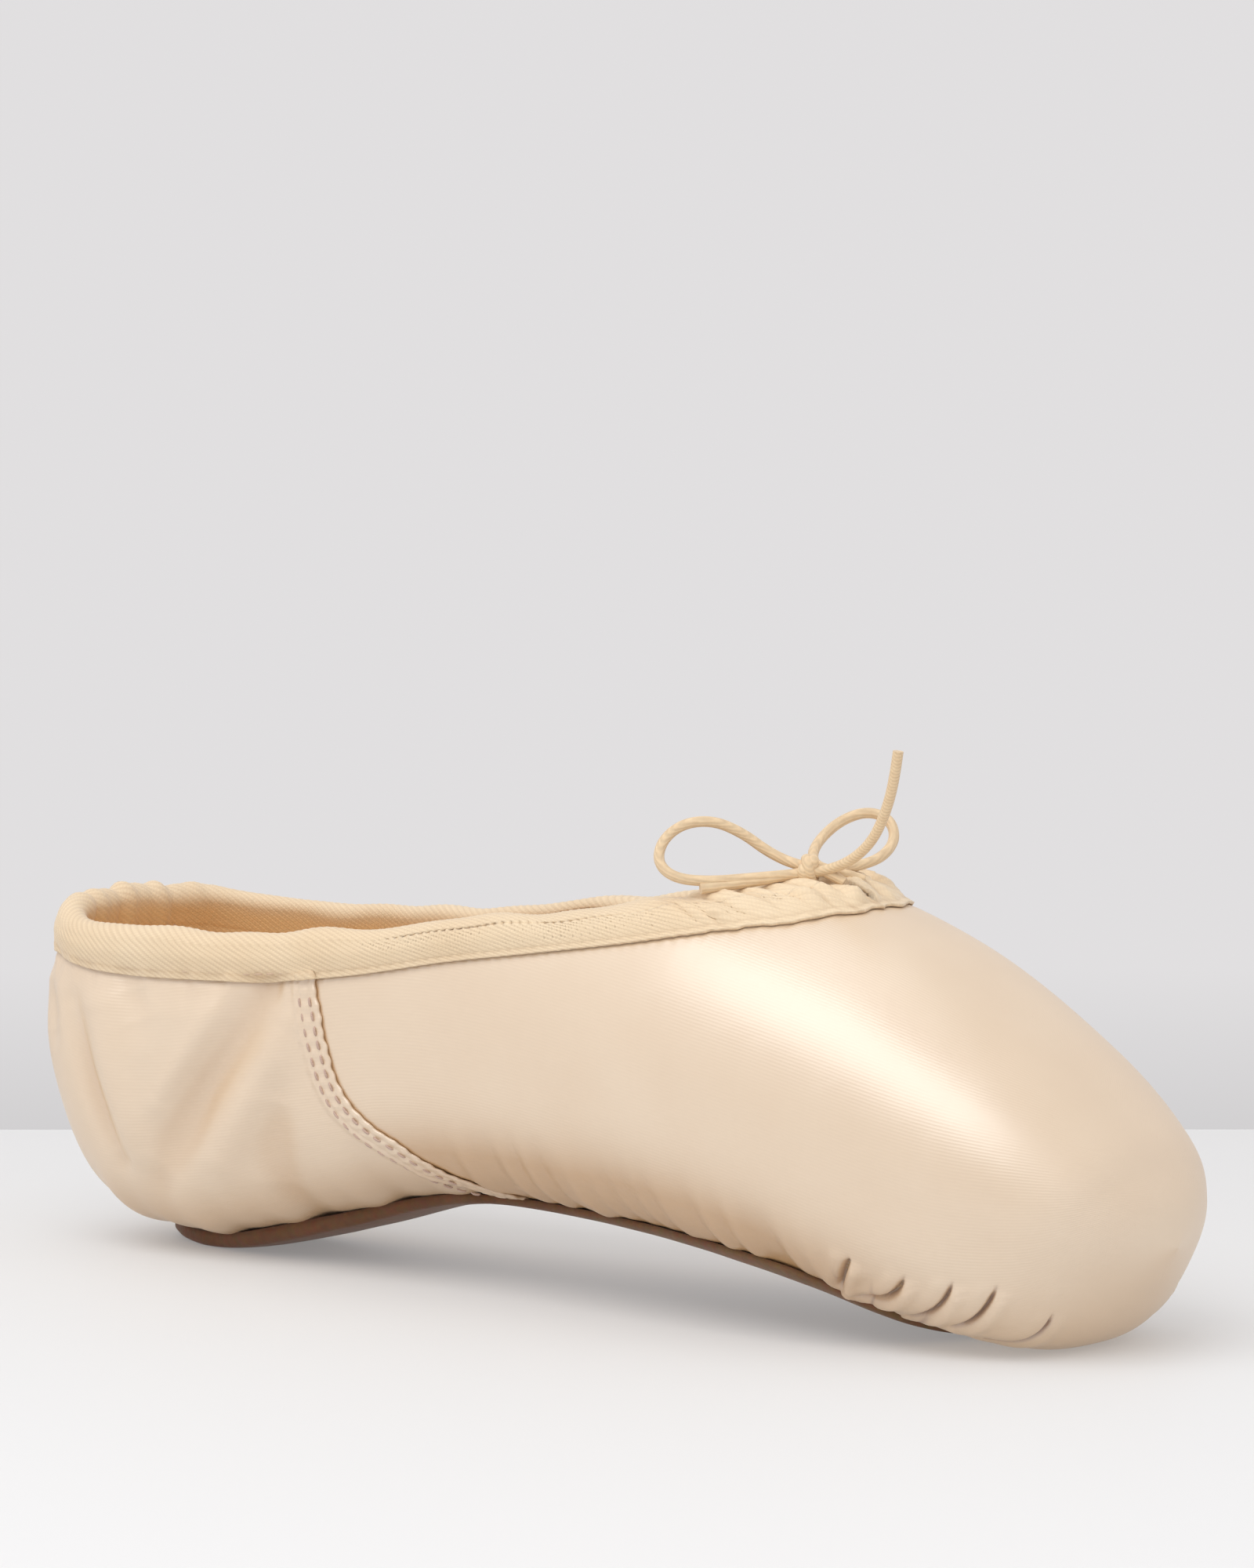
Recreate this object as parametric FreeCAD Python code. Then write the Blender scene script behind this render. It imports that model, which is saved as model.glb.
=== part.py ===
import FreeCAD, Part
import math
import os

from FreeCAD import Vector

os.makedirs("parts", exist_ok=True)

# Ballet slipper with a stiff toe box, in millimetres.
# +X runs to the toe, +Y to the wearer's left, +Z up.
# The origin is on the floor, under the middle of the shoe.

# Thickness of each layer
satinThick = 0.8
liningThick = 0.8
tapeThick = 0.6
bindingThick = 0.75
shankThick = 2.2
insoleThick = 0.8
sockThick = 0.8
outsoleHeel = 2.6
outsoleFront = 1.5

# Sole pieces, along X
shankRear = -109.0
shankFront = 34.0
boxRear = 42.0
padRear = -104.0
padFront = 96.0

# Binding, drawstring and thread
bindingRoof = 0.7
cordDiameter = 1.8
cordDrop = 1.7
upperDrop = 3.0
threadDiameter = 0.45
stitchLength = 1.8
stitchPitch = 2.6
threadLift = 0.1
seamGap = 0.06
skinGap = 0.05
bodyGap = 0.3
soleGap = 0.2
stitchRise = 1.3
seamRows = (1.6, 3.8)
tapeFoot = 22.0
throatRear = 6.0
tapeHalfWidth = 7.0

# Cross-sections of the outside of the satin, heel to toe: bottom x and z, top x and z,
# half width, share of the height at the widest place, roundness below and above it
sections = [
    (-116.0, 30.4, -114.8, 65.8, 0.0, 0.50, 2.0, 2.0),
    (-112.5, 16.9, -113.1, 69.9, 17.3, 0.50, 2.2, 2.2),
    (-104.4, 6.8, -107.3, 76.0, 24.1, 0.42, 2.4, 2.4),
    (-92.1, 3.1, -94.9, 80.2, 27.9, 0.36, 2.7, 2.6),
    (-75.5, 2.9, -76.6, 82.4, 28.5, 0.34, 2.9, 2.6),
    (-52.7, 7.9, -52.4, 82.8, 26.8, 0.34, 2.7, 2.4),
    (-26.4, 14.1, -24.4, 81.2, 26.6, 0.36, 2.6, 2.2),
    (0.6, 14.4, 5.5, 78.6, 29.6, 0.40, 2.6, 2.1),
    (30.4, 12.1, 38.1, 74.7, 34.2, 0.44, 2.7, 2.1),
    (57.0, 7.8, 67.3, 65.1, 34.6, 0.46, 2.8, 2.2),
    (79.6, 2.4, 92.5, 50.1, 31.1, 0.48, 2.9, 2.3),
    (92.6, 0.25, 107.9, 37.4, 25.7, 0.50, 2.9, 2.4),
    (99.4, 0.35, 113.5, 29.8, 19.9, 0.50, 2.7, 2.4),
    (105.2, 3.3, 116.4, 23.9, 11.2, 0.50, 2.4, 2.3),
    (110.9, 10.2, 116.6, 17.9, 0.0, 0.50, 2.0, 2.0),
]

# Thickness of the pasted toe box at each cross-section
boxThick = [0, 0, 0, 0, 0, 0, 0, 0, 0.5, 2.2, 2.4, 2.6, 2.8, 3.0, 3.0]

# Side view lines, x and z
topline = [
    (-125, 62.5), (-115.5, 62.3), (-110.5, 60.8), (-104.5, 59.0), (-96.5, 58.0), (-86.5, 57.8),
    (-71.5, 58.3), (-56.5, 58.8), (-36.5, 60.8), (-16.5, 63.6), (3.5, 66.4), (23.5, 69.4),
    (38.5, 71.9), (51.5, 74.2), (61.5, 76.5), (75, 79.5),
]
bindingEdge = [
    (-125, 53.5), (-115.5, 53.5), (-110.5, 52.6), (-104.5, 51.5), (-96.5, 50.5), (-86.5, 50.2),
    (-71.5, 50.4), (-56.5, 51.0), (-36.5, 53.6), (-16.5, 57.4), (3.5, 60.6), (23.5, 63.9),
    (38.5, 66.7), (55.5, 69.6), (61.5, 71.2), (75, 75.0),
]
sideSeam = [
    (-46.2, 84.0), (-45.6, 60.0), (-45.0, 52.1), (-43.3, 46.3), (-42.2, 41.8), (-39.6, 34.6), (-36.0, 30.8),
    (-32.3, 27.8), (-27.6, 25.2), (-23.7, 22.5), (-19.8, 20.2), (-15.0, 18.2), (-10.9, 16.3),
    (-9.0, 13.5), (-8.0, 6.0),
]
boxEdge = [
    (44, -4), (40, 4), (36, 13), (35, 24), (40, 36), (52, 47), (64, 56), (72, 66), (76, 80),
]

# Outsole seen from above: x and half width, heel to toe
outsoleEdge = [
    (-106.0, 0.0), (-103.0, 8.0), (-92.0, 13.2), (-70.0, 13.8), (-42.0, 11.6), (-17.0, 10.2), (0.0, 12.8),
    (14.0, 16.2), (28.0, 19.6), (44.0, 23.0), (56.0, 24.4), (66.0, 23.0), (74.0, 18.0), (79.0, 10.0),
    (81.0, 0.0),
]

# Each half of the drawstring outside the binding: hole, knot, loop, knot again, cut end
cordRoutes = {
    "bow_cord_right": [
        (51.0, -2.6, 73.4), (48.6, -3.7, 75.0), (45.6, -4.6, 75.7), (41.8, -5.5, 76.4), (38.0, -6.8, 78.2),
        (34.8, -9.2, 81.2), (31.4, -12.8, 83.4), (28.0, -16.8, 83.0), (26.0, -20.0, 80.2),
        (26.6, -21.9, 76.6), (29.8, -21.2, 74.2), (34.4, -17.4, 73.7), (39.4, -11.8, 74.2),
        (43.6, -6.8, 74.6), (48.0, -4.2, 75.2), (52.4, -3.0, 76.9), (56.4, -2.2, 80.4), (59.0, -2.0, 85.3),
        (60.8, -2.0, 90.8), (61.6, -2.0, 95.9),
    ],
    "bow_cord_left": [
        (51.2, 2.6, 73.4), (48.2, -0.2, 74.8), (45.2, -2.4, 75.6), (42.8, -0.7, 77.3), (41.4, 3.6, 79.6),
        (42.2, 8.4, 82.4), (44.8, 12.4, 83.8), (48.2, 14.2, 82.6), (50.5, 12.8, 79.4), (51.0, 8.6, 76.8),
        (49.8, 3.8, 75.6), (47.4, -1.2, 75.2), (44.4, -5.6, 74.9), (40.8, -10.2, 73.9),
        (37.0, -14.8, 73.1), (33.6, -19.2, 72.6),
    ],
}
knotCentre = (45.4, -4.8, 75.2)
knotAxis = (0.84, 0.53, 0.12)


def hermite(table, place):
    # smooth line through the points of a table, at x = place
    last = len(table) - 2
    k = 0
    while k < last and place > table[k + 1][0]:
        k += 1
    slopes = []
    for i in (k, k + 1):
        a = table[max(i - 1, 0)]
        b = table[min(i + 1, last + 1)]
        slopes.append((b[1] - a[1]) / (b[0] - a[0]))
    span = table[k + 1][0] - table[k][0]
    t = (place - table[k][0]) / span
    rise = table[k][1] * (2 * t ** 3 - 3 * t ** 2 + 1) + table[k + 1][1] * (3 * t ** 2 - 2 * t ** 3)
    return rise + span * (slopes[0] * (t ** 3 - 2 * t ** 2 + t) + slopes[1] * (t ** 3 - t ** 2))


def spread(rows, u):
    # smooth value between neighbouring rows, where the row numbers run from 0
    k = min(max(int(math.floor(u)), 0), len(rows) - 4)
    t = u - k
    a, b, c, d = rows[k], rows[k + 1], rows[k + 2], rows[k + 3]
    out = []
    for i in range(len(a)):
        out.append(0.5 * (2 * b[i] + (c[i] - a[i]) * t + (2 * a[i] - 5 * b[i] + 4 * c[i] - d[i]) * t ** 2
                   + (3 * b[i] - a[i] - 3 * c[i] + d[i]) * t ** 3))
    return out


mirroredWidth = [1, 1, 1, 1, -1, 1, 1, 1]
heelGuide = [a * b for a, b in zip(sections[1], mirroredWidth)]
toeGuide = [a * b for a, b in zip(sections[-2], mirroredWidth)]
guided = [heelGuide] + [list(row) for row in sections] + [toeGuide]
lastRow = len(sections) - 1


def formPoint(u, angle):
    # point on the left half of the satin; the angle runs from the sole (-90) to the top (90)
    xb, zb, xt, zt, wide, share, low, high = spread(guided, u)
    c = max(math.cos(angle), 0.0)
    s = math.sin(angle)
    if s < 0:
        power = 2 / low
        rise = share - share * (-s) ** power
    else:
        power = 2 / high
        rise = share + (1 - share) * s ** power
    return Vector(xb + (xt - xb) * rise, max(wide, 0.0) * c ** power, zb + (zt - zb) * rise)


def insetPoint(u, angle, depth):
    # the same point moved square to the surface, inward for a positive depth
    turn = math.pi / 2 - 0.06
    nearU = min(max(u, 0.06), lastRow - 0.06)
    nearAngle = min(max(angle, -turn), turn)
    du = formPoint(nearU + 0.03, nearAngle) - formPoint(nearU - 0.03, nearAngle)
    dv = formPoint(nearU, nearAngle + 0.03) - formPoint(nearU, nearAngle - 0.03)
    out = dv.cross(du)
    base = formPoint(u, angle)
    if base.y < 1e-6:
        out.y = 0
        base.y = 0
    out.normalize()
    return base - out * depth


def depthAt(depth, u):
    # a depth is one number, or a list with one number for each section
    if not isinstance(depth, list):
        return depth
    k = min(int(u), lastRow - 1)
    return depth[k] + (depth[k + 1] - depth[k]) * (u - k)


def closedForm(depth, steps=3, around=18):
    # solid of the whole shoe with its skin moved in by the depth
    grid = []
    for i in range(lastRow * steps + 1):
        u = i / steps
        fine = []
        for j in range(73):
            angle = -math.pi / 2 + math.pi * j / 72
            fine.append((angle, insetPoint(u, angle, depthAt(depth, u))))
        lengths = [0.0]
        for j in range(1, 73):
            lengths.append(lengths[-1] + (fine[j][1] - fine[j - 1][1]).Length)
        row = []
        for j in range(around + 1):
            want = lengths[-1] * j / around
            k = 1
            while k < 72 and lengths[k] < want:
                k += 1
            part = (want - lengths[k - 1]) / (lengths[k] - lengths[k - 1])
            angle = fine[k - 1][0] + (fine[k][0] - fine[k - 1][0]) * part
            if j == 0 or j == around:
                angle = math.copysign(math.pi / 2, j - 1)
            row.append(insetPoint(u, angle, depthAt(depth, u)))
        grid.append(row)
    surface = Part.BSplineSurface()
    surface.interpolate(grid)
    left = surface.toShape()
    right = left.mirror(Vector(0, 0, 0), Vector(0, 1, 0))
    shell = Part.makeShell([left.Faces[0], right.Faces[0]])
    shell.sewShape()
    solid = Part.Solid(shell)
    if solid.Volume < 0:
        solid.reverse()
    return solid


def curveBlock(edgePoints, closing):
    # block across the shoe, bounded by a smooth side view curve and by straight lines
    points = [Vector(x, -60, z) for x, z in edgePoints]
    curve = Part.BSplineCurve()
    curve.interpolate(points)
    corners = [points[-1]] + [Vector(x, -60, z) for x, z in closing] + [points[0]]
    edges = [curve.toShape()]
    for a, b in zip(corners[:-1], corners[1:]):
        edges.append(Part.LineSegment(a, b).toShape())
    return Part.Face(Part.Wire(edges)).extrude(Vector(0, 120, 0))


def under(table, drop):
    # everything under a side view line that is lowered by the drop, and everything ahead of it
    first, last = table[0][0], table[-1][0]
    line = []
    for i in range(41):
        x = first + (last - first) * i / 40
        line.append((x, hermite(table, x) - drop))
    return curveBlock(line, [(last, 95), (135, 95), (135, -20), (first, -20)])


def aboveLine(table, drop):
    # everything over a side view line that is lowered by the drop
    first, last = table[0][0], table[-1][0]
    line = []
    for i in range(41):
        x = first + (last - first) * i / 40
        line.append((x, hermite(table, x) - drop))
    return curveBlock(line, [(last, 120), (first, 120)])


def soleLine(lift):
    # bottom middle line of the satin raised by a lift, as x and z
    line = [(-120.0, 40.0 + lift)]
    for row in sections[1:-1]:
        line.append((row[0], row[1] + lift))
    line.append((118.0, 10.0 + lift))
    return line


def underSole(lift):
    # everything under the raised bottom line
    return curveBlock(soleLine(lift), [(118, -20), (-120, -20)])


def largest(shape):
    # the main solid of a cut, without slivers
    return sorted(shape.Solids, key=lambda piece: piece.Volume)[-1]


def halfSpace(side):
    # the left half of space for side 1, the right half for side -1, short of the middle seam
    low = seamGap if side > 0 else -80 - seamGap
    return Part.makeBox(400, 80, 300, Vector(-200, low, -100))


def span(x0, x1, z0=-50.0, z1=150.0, half=80.0):
    # plain block between two x places
    return Part.makeBox(x1 - x0, 2 * half, z1 - z0, Vector(x0, -half, z0))


def save(name, shape):
    shape.exportStep("parts/" + name + ".step")
    box = shape.optimalBoundingBox(False, False)
    print(name, len(shape.Solids), shape.isValid(), round(shape.Volume),
          [round(v, 2) for v in (box.XMin, box.XMax, box.YMin, box.YMax, box.ZMin, box.ZMax)])


def ringPoint(table, u, drop, depth, side=1):
    # point on the inset skin at one cross-section, at the height of a side view line less the drop
    lowAngle, highAngle = -0.2, math.pi / 2
    for i in range(40):
        angle = (lowAngle + highAngle) / 2
        point = insetPoint(u, angle, depth)
        if point.z < hermite(table, point.x) - drop:
            lowAngle = angle
        else:
            highAngle = angle
    point = insetPoint(u, lowAngle, depth)
    return Vector(point.x, side * point.y, point.z)


def ringFront(table, drop, depth):
    # cross-section number where the line reaches the top of the foot
    lowU, highU = 6.0, 11.0
    for i in range(40):
        u = (lowU + highU) / 2
        top = insetPoint(u, math.pi / 2, depth)
        if top.z > hermite(table, top.x) - drop:
            lowU = u
        else:
            highU = u
    return lowU


def ring(table, drop, depth, spacing):
    # evenly spaced points once round the opening, from the throat over the left side
    front = ringFront(table, drop, depth)
    fine = []
    for i in range(401):
        u = front * (1 - (1 - math.cos(math.pi * i / 400)) / 2)
        fine.append(ringPoint(table, u, drop, depth))
    fine[0].y = 0
    fine[-1].y = 0
    left = evenPoints(fine, spacing)
    right = [Vector(p.x, -p.y, p.z) for p in reversed(left[1:-1])]
    return left + right


def evenPoints(fine, spacing):
    # the same line with points at an even spacing close to the one asked for
    lengths = [0.0]
    for a, b in zip(fine[:-1], fine[1:]):
        lengths.append(lengths[-1] + (b - a).Length)
    count = max(int(round(lengths[-1] / spacing)), 1)
    out = []
    k = 1
    for i in range(count + 1):
        want = lengths[-1] * i / count
        while k < len(fine) - 1 and lengths[k] < want:
            k += 1
        part = (want - lengths[k - 1]) / max(lengths[k] - lengths[k - 1], 1e-9)
        out.append(fine[k - 1] + (fine[k] - fine[k - 1]) * min(max(part, 0.0), 1.0))
    return out


def tube(name, route, diameter, closed=False):
    # round cord along straight runs joined by tangent arcs
    points = [Vector(*p) for p in route]
    count = len(points)
    inner = range(count) if closed else range(1, count - 1)
    bends = {}
    radii = []
    for i in inner:
        before, here, after = points[i - 1], points[i], points[(i + 1) % count]
        inward = before - here
        outward = after - here
        reach = 0.45 * min(inward.Length, outward.Length)
        inward.normalize()
        outward.normalize()
        turn = math.pi - inward.getAngle(outward)
        radius = reach / math.tan(turn / 2)
        radii.append(radius)
        middle = inward + outward
        middle.normalize()
        centre = here + middle * (radius / math.cos(turn / 2))
        bends[i] = (here + inward * reach, centre - middle * radius, here + outward * reach)
    edges = []
    total = 0.0
    pen = points[0] if not closed else bends[0][2]
    order = list(range(1, count)) + [0] if closed else list(range(1, count))
    for i in order:
        if i not in bends:
            edges.append(Part.LineSegment(pen, points[i]).toShape())
            continue
        start, mid, end = bends[i]
        edges.append(Part.LineSegment(pen, start).toShape())
        edges.append(Part.Arc(start, mid, end).toShape())
        pen = end
    path = Part.Wire(edges)
    total = path.Length
    first = edges[0].valueAt(edges[0].FirstParameter)
    along = edges[0].tangentAt(edges[0].FirstParameter)
    ringWire = Part.Wire([Part.makeCircle(diameter / 2, first, along)])
    body = path.makePipeShell([ringWire], True, False)
    if closed and not body.Solids:
        body = Part.Solid(Part.Shell(body.Faces))
    wanted = total * math.pi * diameter ** 2 / 4
    print(name, "length", round(total, 1), "smallest radius", round(min(radii), 1),
          "largest", round(max(radii), 1), "volume ratio", round(abs(body.Volume) / wanted, 4))
    return body


def stitches(points, closed=False):
    # short straight threads between neighbouring points of a line, as one group
    ends = points[1:] + points[:1] if closed else points[1:]
    group = []
    for a, b in zip(points, ends):
        step = b - a
        gap = max(step.Length - stitchLength, 0) / 2
        step.normalize()
        start = a + step * gap
        group.append(Part.makeCylinder(threadDiameter / 2, (b - a).Length - 2 * gap, start, step))
    return Part.makeCompound(group)


def skinPoint(x, z, depth, side):
    # point on the inset skin at a place in the side view
    lowU, highU = 0.0, float(lastRow)
    for i in range(40):
        u = (lowU + highU) / 2
        row = spread(guided, u)
        ahead = (row[2] - row[0]) * (z - row[1]) - (row[3] - row[1]) * (x - row[0])
        if ahead > 0:
            highU = u
        else:
            lowU = u
    xb, zb, xt, zt, wide, share, low, high = spread(guided, lowU)
    rise = min(max((z - zb) / (zt - zb), 0.0), 1.0)
    if rise < share:
        angle = -math.asin(((share - rise) / share) ** (low / 2))
    else:
        angle = math.asin(((rise - share) / (1 - share)) ** (high / 2))
    point = insetPoint(lowU, angle, depth)
    return Vector(point.x, side * point.y, point.z)


def seamRow(back, side, topZ, endX):
    # evenly spaced points along the side seam, a distance behind its folded edge
    fine = []
    for (x0, z0), (x1, z1) in zip(sideSeam[1:-2], sideSeam[2:-1]):
        for k in range(12):
            x = x0 + (x1 - x0) * k / 12
            z = z0 + (z1 - z0) * k / 12
            run = math.hypot(x1 - x0, z1 - z0)
            x += back * (z1 - z0) / run
            z -= back * (x1 - x0) / run
            if z < topZ and x < endX:
                fine.append(skinPoint(x, z, -threadDiameter / 2 - threadLift, side))
    return evenPoints(fine, stitchPitch)


def backRow(topZ, lastU):
    # evenly spaced points down the middle of the heel
    fine = []
    for k in range(41):
        angle = 0.9 * math.pi / 2 - (0.9 + 1.0) * math.pi / 2 * k / 40
        fine.append(insetPoint(0.0, angle, -threadDiameter / 2 - threadLift))
    for k in range(1, 31):
        fine.append(insetPoint(lastU * k / 30, -math.pi / 2, -threadDiameter / 2 - threadLift))
    fine = [Vector(p.x, 0, p.z) for p in fine if p.z < topZ]
    return evenPoints(fine, stitchPitch)


# The skins that bound every layer
boxOuter = satinThick + skinGap
liningOuter = [boxOuter + thick for thick in boxThick]
liningInner = [depth + liningThick for depth in liningOuter]
footSpace = [depth + bodyGap for depth in liningInner]
rearLining = boxOuter + liningThick
outsoleUnder = [-soleGap - outsoleHeel] * 6 + [-soleGap - outsoleFront] * 9
satinOut = closedForm(0.0)
satinIn = closedForm(satinThick)
liningOut = closedForm(liningOuter)
liningIn = closedForm(liningInner)
footForm = closedForm(footSpace)

upperSpace = under(topline, upperDrop)
behindSeam = curveBlock(sideSeam, [(-8.0, -20), (-140, -20), (-140, 84)])
aheadShift = [(x + bodyGap, z) for x, z in sideSeam]
aheadOfSeam = curveBlock(aheadShift, [(-8.0 + bodyGap, -20), (140, -20), (140, 84)])

# Satin and lining of the upper
satinSkin = satinOut.cut(satinIn).common(upperSpace)
liningSkin = liningOut.cut(liningIn).common(upperSpace)
satinHeel = satinSkin.common(behindSeam)
liningHeel = liningSkin.common(behindSeam)
save("satin_vamp", largest(satinSkin.common(aheadOfSeam)))
underBand = aboveLine(bindingEdge, bodyGap + skinGap).common(span(throatRear, 90.0))
save("vamp_lining", largest(liningSkin.common(aheadOfSeam).cut(underBand)))
for name, side in (("left", 1), ("right", -1)):
    save("satin_quarter_" + name, largest(satinHeel.common(halfSpace(side))))
    save("quarter_lining_" + name, largest(liningHeel.common(halfSpace(side))))

# Stiff toe box with its side wings
boxSpace = curveBlock(boxEdge, [(140, 80), (140, -4)])
toeBox = closedForm(boxOuter).common(boxSpace).cut(liningOut.common(boxSpace))
save("toe_box", largest(toeBox))

# Boards and sock inside the sole
shankTop = rearLining + bodyGap + shankThick
insoleTop = shankTop + skinGap + insoleThick
sockTop = insoleTop + skinGap + sockThick
shank = footForm.common(underSole(shankTop)).common(span(shankRear, shankFront))
save("shank_board", largest(shank))
insole = footForm.common(underSole(insoleTop)).cut(underSole(shankTop + skinGap))
save("insole_board", largest(insole.common(span(shankRear, padFront))))
sock = footForm.common(underSole(sockTop)).cut(underSole(insoleTop + skinGap))
save("sock_lining", largest(sock.common(span(padRear, padFront))))

# Outsole
edge = [Vector(x, y, -5) for x, y in outsoleEdge]
edge += [Vector(x, -y, -5) for x, y in reversed(outsoleEdge[1:-1])]
outline = Part.BSplineCurve()
outline.interpolate(edge, PeriodicFlag=True)
plan = Part.Face(Part.Wire([outline.toShape()])).extrude(Vector(0, 0, 31))
plan = plan.cut(span(-130.0, 130.0, -60.0, 0.0))
outsole = closedForm(outsoleUnder).common(plan).cut(closedForm(-soleGap))
save("outsole", largest(outsole))

# Tape over the seam at the back of the heel
tape = closedForm(rearLining + skinGap).cut(closedForm(rearLining + skinGap + tapeThick))
tape = tape.common(span(-130.0, -95.0, tapeFoot, 70.0, tapeHalfWidth)).cut(aboveLine(bindingEdge, 0.4))
save("back_seam_tape", largest(tape))

# Folded binding round the opening
bandSpace = under(topline, 0.0).common(aboveLine(bindingEdge, 0.0))
bindingOut = -bodyGap - bindingThick
bindingIn = rearLining + bodyGap + bindingThick
band = closedForm(bindingOut).common(bandSpace).cut(closedForm(bindingIn))
slot = closedForm(-bodyGap).common(under(topline, bindingRoof)).cut(closedForm(rearLining + bodyGap))
save("topline_binding", largest(band.cut(slot)))

# Drawstring inside the binding
middle = rearLining / 2
held = [tuple(p) for p in ring(topline, cordDrop, middle, 6.0)]
save("drawstring", tube("drawstring", held, cordDiameter, True))

# Tied bow
for name, route in cordRoutes.items():
    save(name, tube(name, route, cordDiameter))
centre = Vector(*knotCentre)
axis = Vector(*knotAxis)
axis.normalize()
wraps = []
for shift, ringRadius in ((-0.55, 1.35), (0.5, 1.55)):
    wraps.append(Part.makeTorus(ringRadius, cordDiameter / 2, centre + axis * shift, axis))
save("bow_knot", wraps[0].fuse(wraps[1]).fuse(Part.makeSphere(1.5, centre)))

# Stitching
outward = threadDiameter / 2 + threadLift
outerRow = ring(bindingEdge, -stitchRise, bindingOut - outward, stitchPitch)
innerRow = ring(bindingEdge, -stitchRise, bindingIn + outward, stitchPitch)
save("binding_stitching_outer", stitches(outerRow, True))
save("binding_stitching_inner", stitches(innerRow, True))
for name, side in (("left", 1), ("right", -1)):
    rows = []
    for back in seamRows:
        rows += stitches(seamRow(back, side, 49.5, -21.0), False).Solids
    save("side_seam_stitching_" + name, Part.makeCompound(rows))
save("back_seam_stitching", stitches(backRow(51.0, 1.5)))
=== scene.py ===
import math

import bpy
import numpy as np
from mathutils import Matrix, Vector
from mathutils.bvhtree import BVHTree


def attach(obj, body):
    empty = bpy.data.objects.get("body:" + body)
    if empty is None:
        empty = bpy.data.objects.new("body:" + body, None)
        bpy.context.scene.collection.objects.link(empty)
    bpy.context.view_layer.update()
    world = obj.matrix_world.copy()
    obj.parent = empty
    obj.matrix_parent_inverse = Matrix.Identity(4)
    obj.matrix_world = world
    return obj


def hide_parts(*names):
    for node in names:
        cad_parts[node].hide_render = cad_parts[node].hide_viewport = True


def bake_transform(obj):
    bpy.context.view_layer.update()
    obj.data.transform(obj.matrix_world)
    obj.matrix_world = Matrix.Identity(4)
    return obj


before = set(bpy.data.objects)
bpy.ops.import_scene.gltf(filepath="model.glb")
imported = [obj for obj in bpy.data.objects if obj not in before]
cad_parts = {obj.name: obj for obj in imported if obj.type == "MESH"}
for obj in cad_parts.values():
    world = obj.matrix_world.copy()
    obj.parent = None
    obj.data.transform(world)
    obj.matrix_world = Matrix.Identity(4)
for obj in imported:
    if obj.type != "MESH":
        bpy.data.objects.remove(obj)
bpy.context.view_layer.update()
mm = 0.001

# camera, light and floor

camera = {
    "azimuth": 38.0, "elevation": 8.0, "distance": 1.3, "lens": 174.0,
    "looksAt": (0.001, 0.0, 0.030), "aimRight": 0.0017, "aimUp": 0.0565,
}
studio = {
    "wallColour": (0.753, 0.739, 0.746), "wallShade": 0.84, "wallFade": (-0.143, -0.120), "worldPower": 1.0,
    # the floor's glow is painted light that lightens the shadows on it, and it fades darker over the last
    # stretch towards the back edge
    "floorColour": (0.55, 0.55, 0.55), "floorPaintedLight": 0.27, "floorBack": 0.19, "floorReach": 3.0,
    "fadeOver": 0.45, "fadeBy": 0.085,
    "key": {"azimuth": -94, "elevation": 59, "distance": 1.1, "width": 1.32, "height": 0.76, "power": 6.05},
    "fill": {"azimuth": -150, "elevation": 16, "distance": 1.6, "width": 1.5, "height": 1.2, "power": 0.6},
    "front": {"azimuth": -20, "elevation": 24, "distance": 1.4, "width": 0.9, "height": 0.9, "power": 0.5},
    "top": {"azimuth": 120, "elevation": 80, "distance": 1.3, "width": 0.7, "height": 0.7, "power": 0.9},
}


def direction(azimuth, elevation):
    a, e = math.radians(azimuth), math.radians(elevation)
    return Vector((math.cos(a) * math.cos(e), math.sin(a) * math.cos(e), math.sin(e)))


def aimAt(thing, place, target):
    thing.location = place
    thing.rotation_mode = "QUATERNION"
    thing.rotation_quaternion = (target - place).to_track_quat("-Z", "Y")


def makeCamera():
    a, e = math.radians(camera["azimuth"]), math.radians(camera["elevation"])
    right = Vector((math.cos(a), math.sin(a), 0))
    ahead = Vector((-math.sin(a) * math.cos(e), math.cos(a) * math.cos(e), -math.sin(e)))
    up = right.cross(ahead)
    target = Vector(camera["looksAt"])
    aim = target + right * camera["aimRight"] + up * camera["aimUp"]
    data = bpy.data.cameras.new("camera")
    data.sensor_width = 36
    data.lens = camera["lens"]
    data.clip_end = 20
    thing = bpy.data.objects.new("camera", data)
    bpy.context.scene.collection.objects.link(thing)
    aimAt(thing, target - ahead * camera["distance"], aim)
    bpy.context.scene.camera = thing


def makeLight(name, setup):
    data = bpy.data.lights.new(name, "AREA")
    data.shape = "RECTANGLE"
    data.size, data.size_y = setup["width"], setup["height"]
    data.energy = setup["power"]
    thing = bpy.data.objects.new(name, data)
    bpy.context.scene.collection.objects.link(thing)
    target = Vector((0, 0, 0.03))
    aimAt(thing, target + direction(setup["azimuth"], setup["elevation"]) * setup["distance"], target)


def node(tree, kind, **values):
    made = tree.nodes.new("ShaderNode" + kind)
    for name, value in values.items():
        if name in made.inputs:
            made.inputs[name].default_value = value
        else:
            setattr(made, name, value)
    return made


def spread(tree, source, low, high, first=0.0, last=1.0):
    # map a value between low and high onto first to last
    made = node(tree, "MapRange")
    for name, value in (("From Min", low), ("From Max", high), ("To Min", first), ("To Max", last)):
        made.inputs[name].default_value = value
    tree.links.new(source, made.inputs["Value"])
    return made.outputs["Result"]


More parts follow.
